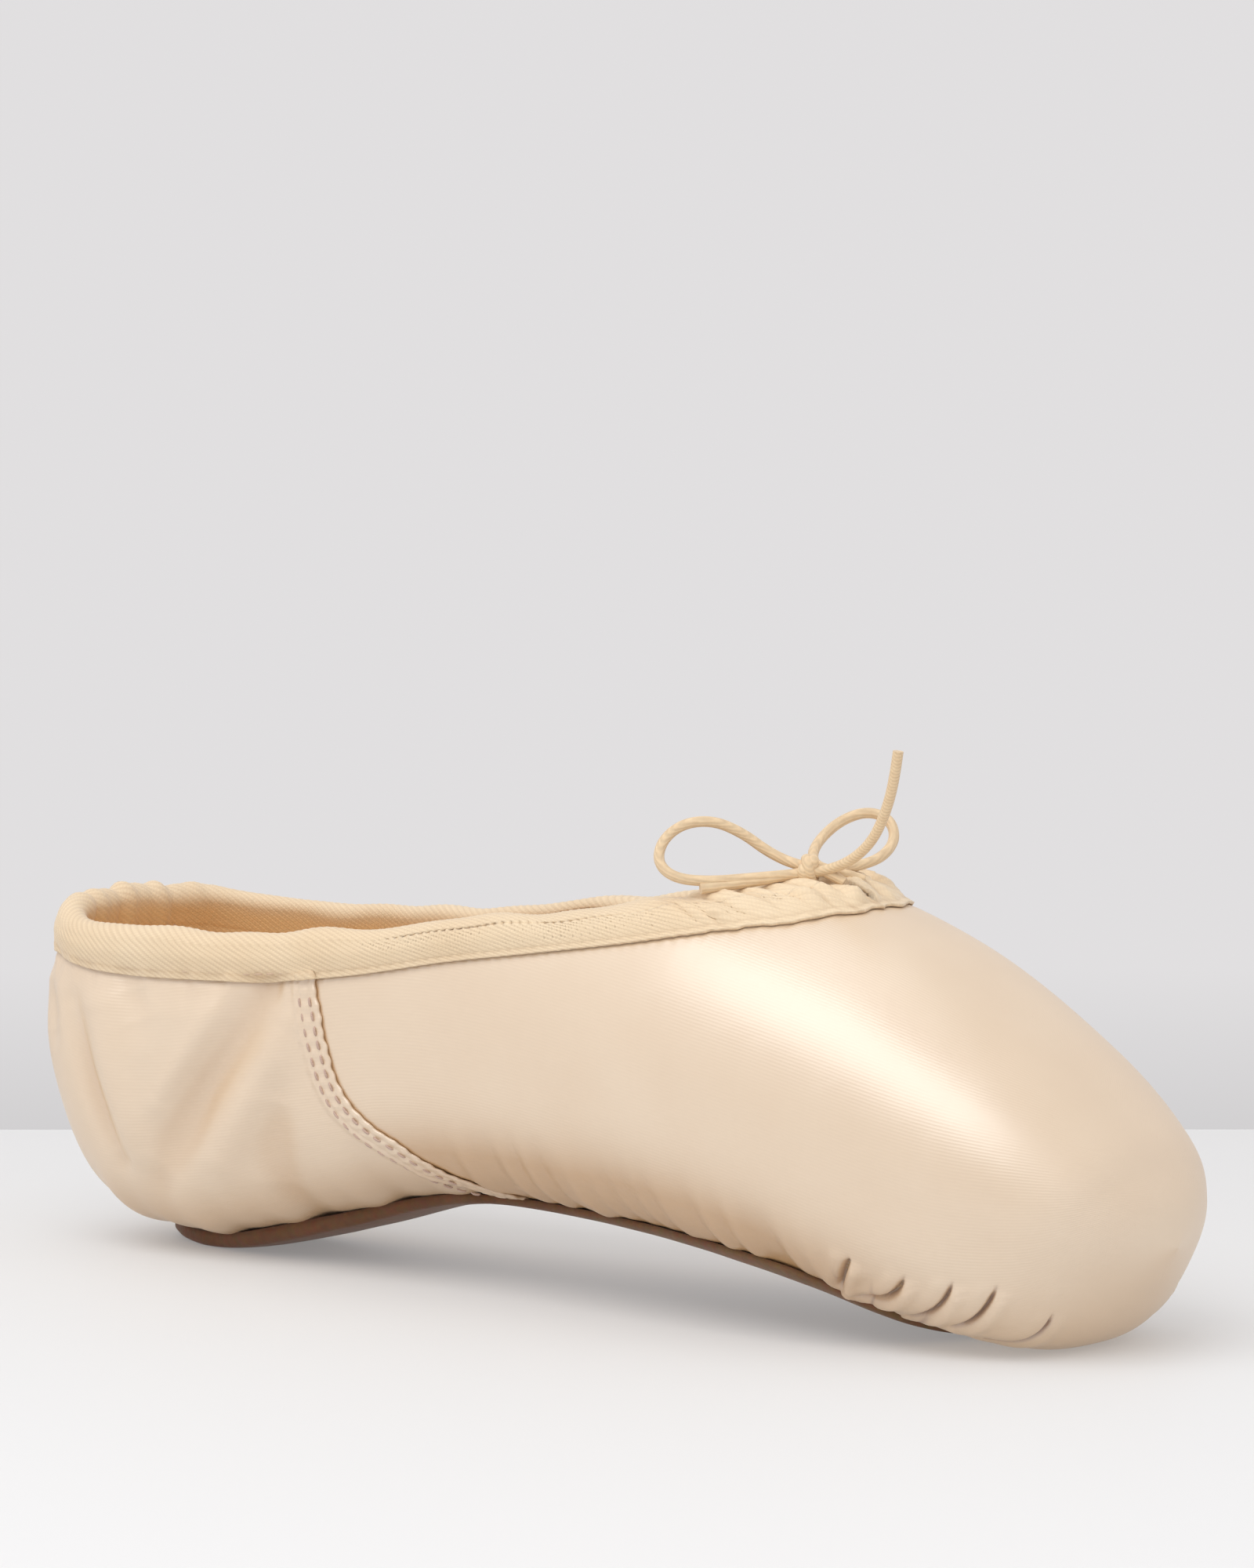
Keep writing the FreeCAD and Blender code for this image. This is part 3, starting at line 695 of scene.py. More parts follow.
pleatSet = {
    # top, middle and foot of every fold on the near side, then its width, depth and swell
    "folds": [
        ((73.4, -31.0, 16.4), (70.2, -28.0, 13.2), (67.4, -25.4, 10.2), 0.46, 1.6, 1.3),
        ((83.4, -29.4, 14.4), (77.6, -27.4, 8.9), (69.7, -24.4, 9.0), 0.42, 1.6, 1.2),
        ((91.6, -27.8, 14.0), (87.0, -26.3, 8.2), (78.6, -21.8, 6.1), 0.34, 1.2, 0.95),
        ((98.8, -25.3, 13.8), (93.8, -24.2, 7.4), (87.5, -21.9, 5.3), 0.34, 1.1, 0.8),
        ((104.4, -17.9, 9.0), (99.5, -17.0, 3.8), (91.2, -18.1, 3.2), 0.30, 0.75, 0.45),
    ],
    "platformEdge": [(99.5, 16.3, 4.1), (105.7, 19.3, 13.0), (107.8, 21.2, 23.8)],
    "creaseShadeWidth": 0.34,
}


def curveSamples(three, count=40):
    a, b, c = (np.array(v, float) for v in three)
    t = np.linspace(0, 1, count)[:, None]
    control = 2 * b - (a + c) / 2
    return (1 - t) ** 2 * a + 2 * t * (1 - t) * control + t ** 2 * c


def nearCurve(p, n, samples):
    # distance along the cloth from a curve, signed by its side, and the share of its length
    low, high = samples.min(0) - 6, samples.max(0) + 6
    close = np.all((p > low) & (p < high), axis=-1)
    gap = np.full(p.shape[:-1], 99.0)
    share = np.zeros(p.shape[:-1])
    q = p[close]
    if len(q) == 0:
        return gap, share
    d = np.linalg.norm(q[:, None, :] - samples[None], axis=-1)
    nearest = d.argmin(1)
    tangent = np.gradient(samples, axis=0)[nearest]
    offset = q - samples[nearest]
    offset = offset - n[close] * (offset * n[close]).sum(1, keepdims=True)
    offset = offset - tangent * ((offset * tangent).sum(1) / (tangent * tangent).sum(1))[:, None] * (
        (nearest > 0) & (nearest < len(samples) - 1))[:, None]
    sign = np.sign(offset[:, 0] * -tangent[:, 2] + offset[:, 2] * tangent[:, 0])
    gap[close] = np.linalg.norm(offset, axis=1) * np.where(sign == 0, 1, sign)
    far = d[np.arange(len(q)), nearest] > 6
    gap[close] = np.where(far, 99.0, gap[close])
    share[close] = nearest / (len(samples) - 1)
    return gap, share


def vampDetail(p, n):
    # pleats at the toe, soft bulges along the sole and the gathers underneath
    lift = np.zeros(p.shape[:-1])
    creaseShade = np.zeros(p.shape[:-1])
    x, y, z = p[..., 0], p[..., 1], p[..., 2]
    half = np.interp(x, [r[0] for r in outsoleShape["outline"]], [r[1] for r in outsoleShape["outline"]])
    for side in (-1, 1):
        here = side * y > 0
        for k, (top, middle, foot, width, depth, swell) in enumerate(pleatSet["folds"]):
            move = np.array([0.0, 0.0, 0.0] if side < 0 else [1.3 * (-1) ** k, 0.4, 0.3 * (-1) ** k])
            line = curveSamples([(np.array(v) + move) * [1, -side, 1] for v in (top, middle, foot)])
            gap, share = nearCurve(p, n, line)
            fade = smoothStep(share, 0.0, 0.22) * (1 - 0.35 * smoothStep(share, 0.75, 1.0)) * here
            narrow = width * (0.55 + 0.45 * fade)
            lift -= depth * fade * np.exp(-(gap / narrow) ** 2)
            beside = np.exp(-((np.abs(gap) - 1.9) / 1.3) ** 2)
            lift += swell * fade * beside * np.where(gap * side > 0, 0.45, 1.0)
            # painted shade: a thin dark line down the middle of each pleat
            creaseShade = np.maximum(creaseShade, 0.9 * fade * np.exp(-(gap / pleatSet["creaseShadeWidth"]) ** 2))
        ridge = curveSamples([np.array(v) * [1, side, 1] for v in pleatSet["platformEdge"]])
        gap, share = nearCurve(p, n, ridge)
        lift += 0.22 * np.exp(-(gap / 1.6) ** 2) * np.sin(math.pi * np.clip(share, 0.02, 0.98)) * here
    rim = smoothStep(-n[..., 2], 0.15, 0.7) * smoothStep(np.abs(y) - half, -1.5, 1.5)
    wave = np.sin(x / 1.55 + 2 * np.sin(x / 7.0) + np.sign(y)) + 0.6 * np.sin(x / 0.83 + 1.3 * np.sign(y))
    lift += 0.28 * rim * wave * smoothStep(x, -30, -8) * (1 - smoothStep(x, 66, 74))
    swellRun = np.sin(x / 4.6 + 0.9 * np.sign(y)) + 0.7 * np.sin(x / 2.6 + 2.0)
    lift += 0.35 * rim * swellRun * smoothStep(x, -20, 0) * (1 - smoothStep(x, 68, 76))
    turn = np.arctan2(y, x - 58)
    reach = np.hypot(x - 58, y)
    under = smoothStep(-n[..., 2], 0.5, 0.85) * smoothStep(reach, 20, 24) * (1 - smoothStep(reach, 30, 40))
    under *= smoothStep(x, 62, 72)
    folds = np.abs(np.sin(13 * turn + 0.6 * np.sin(5 * turn)))
    lift += 0.45 * under * (folds ** 0.7 - 0.5)
    # painted shade in the small folds underneath
    creaseShade = np.maximum(creaseShade, 0.6 * under * np.exp(-(folds / 0.12) ** 2))
    edge = lineAt(bindingEdge, np.minimum(x, 60)) - z
    tuck = np.exp(-(np.maximum(edge, 0) / 1.6) ** 2) * (edge > -1) * (x < 58)
    lift -= 0.12 * tuck * (1 + np.sin(x / 0.42))
    # painted shade just under the binding's lower edge
    creaseShade = np.maximum(creaseShade, 0.22 * np.exp(-((edge - 0.1) / 0.35) ** 2) * (x < 57))
    return lift, creaseShade


def heelDents(p, side):
    lift = np.zeros(p.shape[:-1])
    for line, width, depth in heelWrinkles["right" if side < 0 else "left"]:
        gap, along = sideLineDistance(p, line)
        taper = 0.35 + 0.65 * np.sin(math.pi * np.clip(along, 0.05, 0.95)) ** 0.7
        lift -= heelWrinkles["strength"] * depth * taper * np.exp(-(gap / width) ** 2)
    return lift * smoothStep(np.abs(p[..., 1]), 1.0, 9.0)


def quarterDetail(p, n, side, behind, run):
    # wrinkles at the heel, the folded seam edge and its puckers
    x, z = p[..., 0], p[..., 2]
    lift = heelDents(p, side)
    edge = lineAt(bindingEdge, x) - z
    pucker = np.exp(-(np.maximum(edge, 0) / 3.5) ** 2)
    lift += 0.22 * pucker * (np.sin(x / 1.25 + 1.5 * np.sin(x / 6)) + 0.5 * np.sin(x / 0.6))
    lift += 0.9 * smoothStep(edge, 0.5, 7) * (1 - smoothStep(edge, 12, 30)) * (1 - smoothStep(x, -70, -48))
    lift -= 0.3 * np.exp(-(edge / 1.0) ** 2)
    rim = smoothStep(-n[..., 2], 0.2, 0.7)
    lift += 0.3 * rim * (np.sin(x / 2.7 + side) + 0.6 * np.sin(x / 1.4))
    back = np.exp(-(p[..., 1] / 0.5) ** 2) * (1 - smoothStep(x, -100, -90))
    lift -= 0.35 * back
    band = 1 - smoothStep(behind, 4.4, 6.2)
    lift = lift * smoothStep(behind, 0, 7) + 0.5 * band
    lift -= 0.42 * np.clip(1 - behind / 0.55, 0, 1) ** 2
    phase = run / thread["pitch"] * 2 * math.pi
    for row in thread["rows"]:
        lift -= 0.17 * np.exp(-((behind - row) / 0.4) ** 2) * (1.0 + 0.5 * np.cos(phase))
    lift += 0.13 * band * np.cos(phase + 0.7 * np.sin(run / 4)) * np.exp(-((behind - 2.4) / 2.2) ** 2)
    # painted shade under the binding's edge and along the folded seam edge; the darker line at the back seam
    # is partly the seam's own dark joint and partly painted shade
    creaseShade = 0.2 * np.exp(-((edge - 0.1) / 0.35) ** 2) + 0.25 * back
    creaseShade += 0.15 * np.exp(-(behind / 0.2) ** 2)
    return lift, np.clip(creaseShade, 0, 1)


def clothCoordinates(p):
    # distances along and across the cloth for each grid point
    along = np.linalg.norm(np.diff(p, axis=0), axis=2)
    across = np.linalg.norm(np.diff(p, axis=1), axis=2)
    u = np.concatenate([np.zeros((1, p.shape[1])), np.cumsum(along, 0)])
    v = np.concatenate([np.zeros((p.shape[0], 1)), np.cumsum(across, 1)], 1)
    return np.stack([u, v - v[:, [p.shape[1] // 2]]], -1)


def clothPiece(name, points, material, coordinates, creaseShade=None, flip=False, closeRows=False,
               closeColumns=False, thickness=0.0, paintedShade=None):
    thing = gridMesh(name, points, material, closeRows, closeColumns, flip)
    mesh = thing.data
    layer = mesh.uv_layers.new(name="cloth")
    index = np.empty(len(mesh.loops), np.int32)
    mesh.loops.foreach_get("vertex_index", index)
    layer.data.foreach_set("uv", coordinates.reshape(-1, 2)[index].astype(np.float32).ravel())
    for label, given in (("creaseShade", creaseShade), ("paintedShade", paintedShade)):
        mark = mesh.attributes.new(label, "FLOAT", "POINT")
        values = np.zeros(len(mesh.vertices)) if given is None else given.ravel()
        mark.data.foreach_set("value", np.ascontiguousarray(values, np.float32))
    join = thing.modifiers.new("weld", "WELD")
    join.merge_threshold = 0.000012
    settle(thing)
    if thickness:
        thicken(thing, thickness)
    return thing


def finishPiece(thing, cadNode, bends):
    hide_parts(cadNode)
    if bends:
        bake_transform(thing)
    else:
        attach(thing, "rearfoot")
    return thing


outsoleShape = {
    # x and half width, heel to toe
    "outline": [
        (-99.0, 0.0), (-97.0, 3.0), (-92.0, 6.8), (-84.0, 10.6), (-70.0, 12.8), (-42.0, 11.4), (-17.0, 10.2),
        (0.0, 12.8), (14.0, 16.2), (28.0, 19.6), (44.0, 23.0), (56.0, 24.4), (66.0, 23.0), (74.0, 18.0),
        (79.0, 10.0), (80.6, 4.0), (81.0, 0.0),
    ],
    "heelThickness": 2.6, "frontThickness": 1.5, "gap": 0.2,
}

# satin upper

upper = {
    "rowsRear": 150, "rowsFolds": 210, "rowsTip": 44, "folds": (9.3, 12.8), "columns": 225,
    "underlap": 2.6, "tuck": 3.0, "tipSmoothing": 30,
}


def evenShares(count, crowd):
    # shares from sole to top, closer together near the sole
    t = np.linspace(0, 1, count)
    return t * (1 - crowd) + crowd * t ** 1.8


def smoothTip(p, rounds):
    # relax the closed toe tip; columns run from the right top over the sole to the left top
    weight = smoothStep(p[..., 0], 100, 106)[..., None]
    for i in range(rounds):
        wide = np.concatenate([p[:, -2:-1], p, p[:, 1:2]], 1)
        mean = (wide[:, :-2] + wide[:, 2:]) / 2
        mean[1:-1] = (mean[1:-1] + (p[:-2] + p[2:]) / 2) / 2
        tipRow = (p[-2] + p[-2, ::-1]) / 2
        mean[-1] = tipRow
        p = p + weight * 0.5 * (mean - p)
    return p


def satinTop(x):
    return lineAt(topline, np.minimum(x, throatFront)) - upper["tuck"]


shares = evenShares(upper["columns"], 0.7)
tableU, satinTable = angleTable(satinTop, 0.0, shares)


def makeVamp():
    start = seamStation(-upper["underlap"], tableU, satinTable)
    firstFold, lastFold = upper["folds"]
    t = np.concatenate([np.linspace(0, 0.05, 16)[:-1], np.linspace(0.05, 1, upper["rowsRear"])])[:, None]
    rear = start[None, :] + (firstFold - start[None, :]) * t
    folded = np.linspace(firstFold, lastFold, upper["rowsFolds"])[1:, None] + 0 * start
    tip = np.linspace(lastFold, lastRow, upper["rowsTip"])[1:, None] + 0 * start
    u = np.concatenate([rear, folded, tip])
    angles = anglesFor(u, tableU, satinTable)
    p = bothSides(formPoint(u, angles))
    n = bothSides(outward(u, angles))
    cloth = clothCoordinates(p)
    p = smoothTip(p, upper["tipSmoothing"])
    lift, creaseShade = vampDetail(p, n)
    under = -seamDistance(p)
    lift -= 0.16 * smoothStep(under, -0.9, 0.3)
    # painted shadow line along the side seam's folded edge, darkened and warmed
    seamShade = np.exp(-(np.minimum(under, 0) / 0.4) ** 2)
    creaseShade = np.maximum(creaseShade, 0.14 * seamShade)
    # painted shade: darker and warmer where the satin faces down towards the floor
    paintedShade = 0.95 * smoothStep(-n[..., 2], 0.02, 0.7) * (1 - smoothStep(p[..., 0], 40, 92))
    paintedShade = paintedShade + 0.35 * smoothStep(-n[..., 2], 0.2, 0.8) + 1.2 * seamShade
    thing = clothPiece("vampSatin", p + n * lift[..., None], satinFinish, cloth, creaseShade, True,
                       thickness=0.7, paintedShade=np.clip(paintedShade, 0, 1))
    return finishPiece(thing, "satin_vamp", True)


def makeQuarter(name, side, cadNode):
    end = seamStation(0, tableU, satinTable)
    edgePoint = formPoint(end, anglesFor(end[None, :], tableU, satinTable)[0])
    run = np.concatenate([[0], np.cumsum(np.linalg.norm(np.diff(edgePoint, axis=0), axis=1))])
    pulls = np.sin(run / thread["pitch"] * 2 * math.pi + 0.9 * np.sin(run / 5))
    end = end + 0.005 * pulls + 0.003 * np.sin(run / 1.1)
    t = np.concatenate([np.linspace(0, 0.9, 120)[:-1], np.linspace(0.9, 1, 55)])
    u = end[None, :] * t[:, None]
    angles = anglesFor(u, tableU, satinTable)
    p = formPoint(u, angles)
    n = outward(u, angles)
    lead = np.linalg.norm(np.diff(p, axis=0), axis=2)
    behind = np.concatenate([np.cumsum(lead[::-1], 0)[::-1], np.zeros((1, p.shape[1]))])
    behind = np.minimum(behind, np.where(behind < 9, np.abs(seamDistance(p)) * 0.5 + behind * 0.5, behind))
    cloth = clothCoordinates(p)
    lift, creaseShade = quarterDetail(p, n, side, behind, run[None, :])
    p = (p + n * lift[..., None]) * [1, side, 1]
    p[0, :, 1] = 0
    # painted shade: darker and warmer where the quarter faces down and in the valleys of the heel dents
    paintedShade = 0.5 * smoothStep(-n[..., 2], 0.35, 0.85) + 0.3 * smoothStep(-lift, 0.2, 1.6)
    thing = clothPiece(name, p, satinFinish, cloth, creaseShade, side > 0, thickness=0.45,
                       paintedShade=np.clip(paintedShade, 0, 1))
    return finishPiece(thing, cadNode, False)


makeVamp()
makeQuarter("quarterSatinLeft", 1, "satin_quarter_left")
makeQuarter("quarterSatinRight", -1, "satin_quarter_right")
print("satin ready")

# lining, toe box and the boards inside

inside = {
    "boxThick": [0, 0, 0, 0, 0, 0, 0, 0, 0.5, 2.2, 2.4, 2.6, 2.8, 3.0, 3.0],
    "boxEdge": [(-4, 44), (4, 40), (13, 36), (24, 35), (36, 40), (47, 52), (56, 64), (66, 72), (80, 76)],
    "insoleTop": 5.0, "sockTop": 5.85,
}


def liningDepth(u):
    return 0.85 + np.interp(u, np.arange(lastRow + 1), inside["boxThick"])


def liningTop(x):
    under = lineAt(bindingEdge, np.minimum(x, throatFront)) - 0.4
    over = lineAt(topline, np.minimum(x, throatFront)) - upper["tuck"]
    return over + (under - over) * smoothStep(x, 5.0, 6.5)


def makeLining(name, side, cadNode, isVamp):
    t = np.linspace(0, 1, 150)
    grid = evenShares(90, 0.2)
    lowU, liningTable = angleTable(liningTop, 1.65, grid)
    seam = seamStation(0.3, lowU, liningTable)
    if isVamp:
        u = seam[None, :] + (lastRow - 0.3 - seam[None, :]) * t[:, None]
    else:
        u = (seam[None, :] - 0.015) * t[:, None]
    angles = anglesFor(u, lowU, liningTable)
    p = skin(u, angles, liningDepth(u))
    ripple = 0.12 * np.sin(p[..., 0] / 3.1 + np.sin(p[..., 2] / 4)) * np.sin(p[..., 2] / 5.0)
    p = p - outward(u, angles) * (ripple * 0.5 + 0.06)[..., None]
    if isVamp:
        p = bothSides(p)
    else:
        # follows the dents of the satin outside it
        p = p + outward(u, angles) * (np.minimum(heelDents(p, side), 0) - 0.25)[..., None]
        p = p * [1, side, 1]
        p[0, :, 1] = 0
    # painted shade: the lining inside the shoe is tinted darker and warmer all over, as painted bounce light
    # and shade
    thing = clothPiece(name, p, cottonFinish, clothCoordinates(p), None, isVamp or side > 0,
                       thickness=0.65, paintedShade=np.full(p.shape[:-1], 0.7))
    return finishPiece(thing, cadNode, isVamp)


def makeBox():
    t = np.linspace(0, 1, 120)
    grid = evenShares(90, 0.0)
    lowU, boxTable = angleTable(lambda x: np.full(np.shape(x), 200.0), 0.85, grid)
    edge = stationWhere(lambda p: p[..., 0] < lineAt(inside["boxEdge"], p[..., 2]), lowU, boxTable,
                        6.5, 12.0)
    u = edge[None, :] + (lastRow - 0.3 - edge[None, :]) * t[:, None]
    angles = anglesFor(u, lowU, boxTable)
    p = bothSides(skin(u, angles, 1.0 + 1.2 * smoothStep(u, 12.3, 13.6)))
    thing = clothPiece("toeBox", p, cardFinish, clothCoordinates(p), None, True, thickness=1.9)
    return finishPiece(thing, "toe_box", True)


def soleHeight(x):
    places = [(-120.0, 40.0)] + [(r[0], r[1]) for r in sections[1:-1]] + [(118.0, 10.0)]
    return lineAt(places, x)


def makeBoard(name, cadNode, material, rearX, frontX, top, thick):
    # flat sheet that fills the shoe's floor at one height above the sole line
    def line(x):
        return soleHeight(x) + top
    u = np.linspace(0.6, 13.0, 500)
    foot = liningDepth(u) + 0.8 + 0.35
    low = np.full(u.shape, -quarterTurn)
    high = np.full(u.shape, 0.3)
    for i in range(36):
        middle = (low + high) / 2
        p = skin(u, middle, foot)
        below = p[..., 2] < line(p[..., 0])
        low = np.where(below, middle, low)
        high = np.where(below, high, middle)
    edge = skin(u, low, foot)
    keep = (edge[:, 0] > rearX) & (edge[:, 0] < frontX)
    order = np.argsort(edge[keep][:, 0])
    xs = np.linspace(edge[keep][:, 0].min(), edge[keep][:, 0].max(), 180)
    half = np.interp(xs, edge[keep][order][:, 0], edge[keep][order][:, 1])
    half = np.maximum(half - 0.1, 0.3)
    across = np.linspace(-1, 1, 41)
    x = np.repeat(xs[:, None], len(across), 1)
    y = half[:, None] * across
    z = line(x) - 0.03 + 0.1 * np.sin(x / 9) * np.cos(y / 6)
    p = np.stack([x, y, z - 0.1], -1)
    thing = clothPiece(name, p, material, np.stack([x, y], -1), None, False, thickness=thick * 0.8)
    return finishPiece(thing, cadNode, True)


makeLining("vampLining", 1, "vamp_lining", True)
makeLining("quarterLiningLeft", 1, "quarter_lining_left", False)
makeLining("quarterLiningRight", -1, "quarter_lining_right", False)
makeBox()
makeBoard("sockLining", "sock_lining", cottonFinish, -112, 96, inside["sockTop"], 0.8)
makeBoard("insoleBoard", "insole_board", cardFinish, -112, 96, inside["insoleTop"], 0.8)
print("inside ready")

# outsole

def makeOutsole():
    fineU = np.linspace(0, lastRow, 1401)
    bottomX = formPoint(fineU, np.full(fineU.shape, -quarterTurn))[:, 0]
    outline = np.array(outsoleShape["outline"])
    t = np.linspace(0, 1, 260)
    length = outline[-1, 0] - outline[0, 0] - 0.1
    xs = outline[0, 0] + 0.05 + length * ((0.5 - 0.5 * np.cos(math.pi * t)) * 0.35 + t * 0.65)
    half = np.maximum(np.interp(xs, outline[:, 0], outline[:, 1]), 0)
    for i in range(6):
        half[1:-1] = (half[:-2] + 2 * half[1:-1] + half[2:]) / 4
    f = np.concatenate([np.linspace(0, 0.86, 22), 0.86 + 0.14 * np.sin(np.linspace(0, quarterTurn, 10))[1:]])
    thick = np.interp(xs, [-60, -20], [outsoleShape["heelThickness"], outsoleShape["frontThickness"]])
    xGrid = np.repeat(xs[:, None], len(f), 1)
    y = half[:, None] * f
    u = np.interp(xGrid, bottomX, fineU)
    pace = np.diff(fineU) / np.maximum(np.diff(bottomX), 1e-4)
    for i in range(3):
        q = sectionAt(u)
        c = np.clip(y / np.maximum(q[..., 4], 0.5), 0, 0.98) ** (q[..., 6] / 2)
        angle = -np.arccos(c)
        now = formPoint(u, angle)
        u = u + (xGrid - now[..., 0]) * np.interp(u, fineU[:-1], pace)
        u = np.clip(u, 0, lastRow)
    roundEdge = np.sqrt(np.clip(1 - np.clip((f - 0.86) / 0.14, 0, 1) ** 2, 0, 1))
    top = skin(u, angle, np.full(u.shape, -outsoleShape["gap"]))
    ends = np.clip(np.minimum(t, 1 - t) / 0.012, 0, 1) ** 0.5
    drop = thick[:, None] * (0.35 + 0.65 * roundEdge) * (0.3 + 0.7 * ends[:, None])
    bottom = skin(u, angle, -(outsoleShape["gap"] + drop))
    wobble = 0.25 * np.sin(xGrid / 5.3) + 0.12 * np.sin(xGrid / 2.1)
    for part in (top, bottom):
        part[..., 1] += wobble * (f > 0.5) * (f - 0.5)
        part[..., 2] = np.maximum(part[..., 2], 0.0)
    mirror = [1, -1, 1]
    loop = np.concatenate([bottom[:, ::-1] * mirror, bottom[:, 1:], top[:, ::-1], top[:, 1:] * mirror], 1)
    flat = np.stack([loop[..., 0], loop[..., 1]], -1)
    thing = clothPiece("outsole", loop, soleFinish, flat, None, True, closeColumns=True)
    return finishPiece(thing, "outsole", True)


makeOutsole()
print("outsole ready")

# binding round the opening

binding = {
    "around": 1560, "length": 379.0, "width": 8.0, "rollHeight": 1.9, "outside": -1.05, "within": 2.7,
    "thickness": 0.5, "laid": 0.22, "stitchLine": 1.3, "ribPitch": 0.88, "ribSlant": 31, "ribHeight": 0.15,
    "gatherReach": 42, "gatherHeight": 0.85,
}


def bandLevel(share, drop):
    # height line between the binding's lower edge and the topline
    def line(x):
        held = np.minimum(x, throatFront)
        low = lineAt(bindingEdge, held)
        return low + (lineAt(topline, held) - low) * share - drop
    return line


def satinBelow():
    # one search tree over the satin that the band is sewn down on
    corners, faces = [], []
    for name in ("vampSatin", "quarterSatinLeft", "quarterSatinRight"):
        mesh = bpy.data.objects[name].data
        base = len(corners)
        corners += [v.co.copy() for v in mesh.vertices]
        faces += [[base + k for k in face.vertices] for face in mesh.polygons]
    return BVHTree.FromPolygons(corners, faces)


def layDown(p, n, height):
    # the sewn edge lies flat on the satin and comes free of it further up
    tree = satinBelow()
    laid = p.copy()
    for row in np.flatnonzero(height[:, 0] < 2.4):
        hold = 1 - smoothStep(height[row, 0], 0.7, 2.4)
        away = binding["laid"] + 0.12 * height[row, 0]
        for column in range(p.shape[1]):
            out = Vector(n[row, column])
            spot = tree.ray_cast(Vector(p[row, column] * mm) + out * 3 * mm, -out, 7 * mm)[0]
            if spot:
                laid[row, column] += hold * (np.array(spot) / mm + n[row, column] * away - p[row, column])
    return laid


def bandLevels():
    # share of the height, drop, depth and place across the band for each row, outside to inside
    middle = (binding["outside"] + binding["within"]) / 2
    radius = (binding["within"] - binding["outside"]) / 2
    legTop = 1 - binding["rollHeight"] / binding["width"]
    levels = []
    for share in np.linspace(0, legTop, 25):
        levels.append((share, 0.0, binding["outside"], share * binding["width"]))
    for turn in np.linspace(0, math.pi, 20)[1:-1]:
        drop = binding["rollHeight"] * (1 - math.sin(turn))
        levels.append((1.0, drop, middle - radius * math.cos(turn), 6.1 + turn * 1.9))
    for share in np.linspace(legTop, 0, 18):
        levels.append((share, 0.0, binding["within"], 12.1 + (legTop - share) * binding["width"]))
    return levels


def bandRibs(height, fromThroat, side):
    # slanted twill ribs and the cells along each of them
    slant = math.radians(binding["ribSlant"])
    phase = (side * fromThroat * math.sin(slant) + height * math.cos(slant)) / binding["ribPitch"]
    warp = (fromThroat * math.cos(slant) - side * height * math.sin(slant)) / 0.9
    rib = 0.5 + 0.5 * np.cos(2 * math.pi * phase)
    cell = 0.72 + 0.28 * np.abs(np.cos(math.pi * (warp + np.floor(phase) * 0.5)))
    return rib, cell


def bandGathers(s, height, gather):
    # small folds where the cord draws the band together at the throat
    folds = np.sin(s / 0.72 + 1.6 * np.sin(s / 3.1)) + 0.8 * np.sin(s / 1.15 + height / 2.2 + 1.0)
    folds += 0.6 * np.sin(s / 0.41 + height / 1.3)
    free = smoothStep(height, 0.8, 3.2)
    ruffle = gather * folds * (0.6 + 0.4 * np.sin(height / 1.6 + s / 4)) * (0.12 + 0.88 * free)
    puff = np.maximum(np.sin(s / 1.05 + 2.2 * np.sin(height / 1.5 + s / 5)), 0)
    puff = puff * np.maximum(np.sin(height / 1.05 + s / 3), 0)
    return binding["gatherHeight"] * 0.5 * ruffle + 0.7 * gather * puff * free, folds


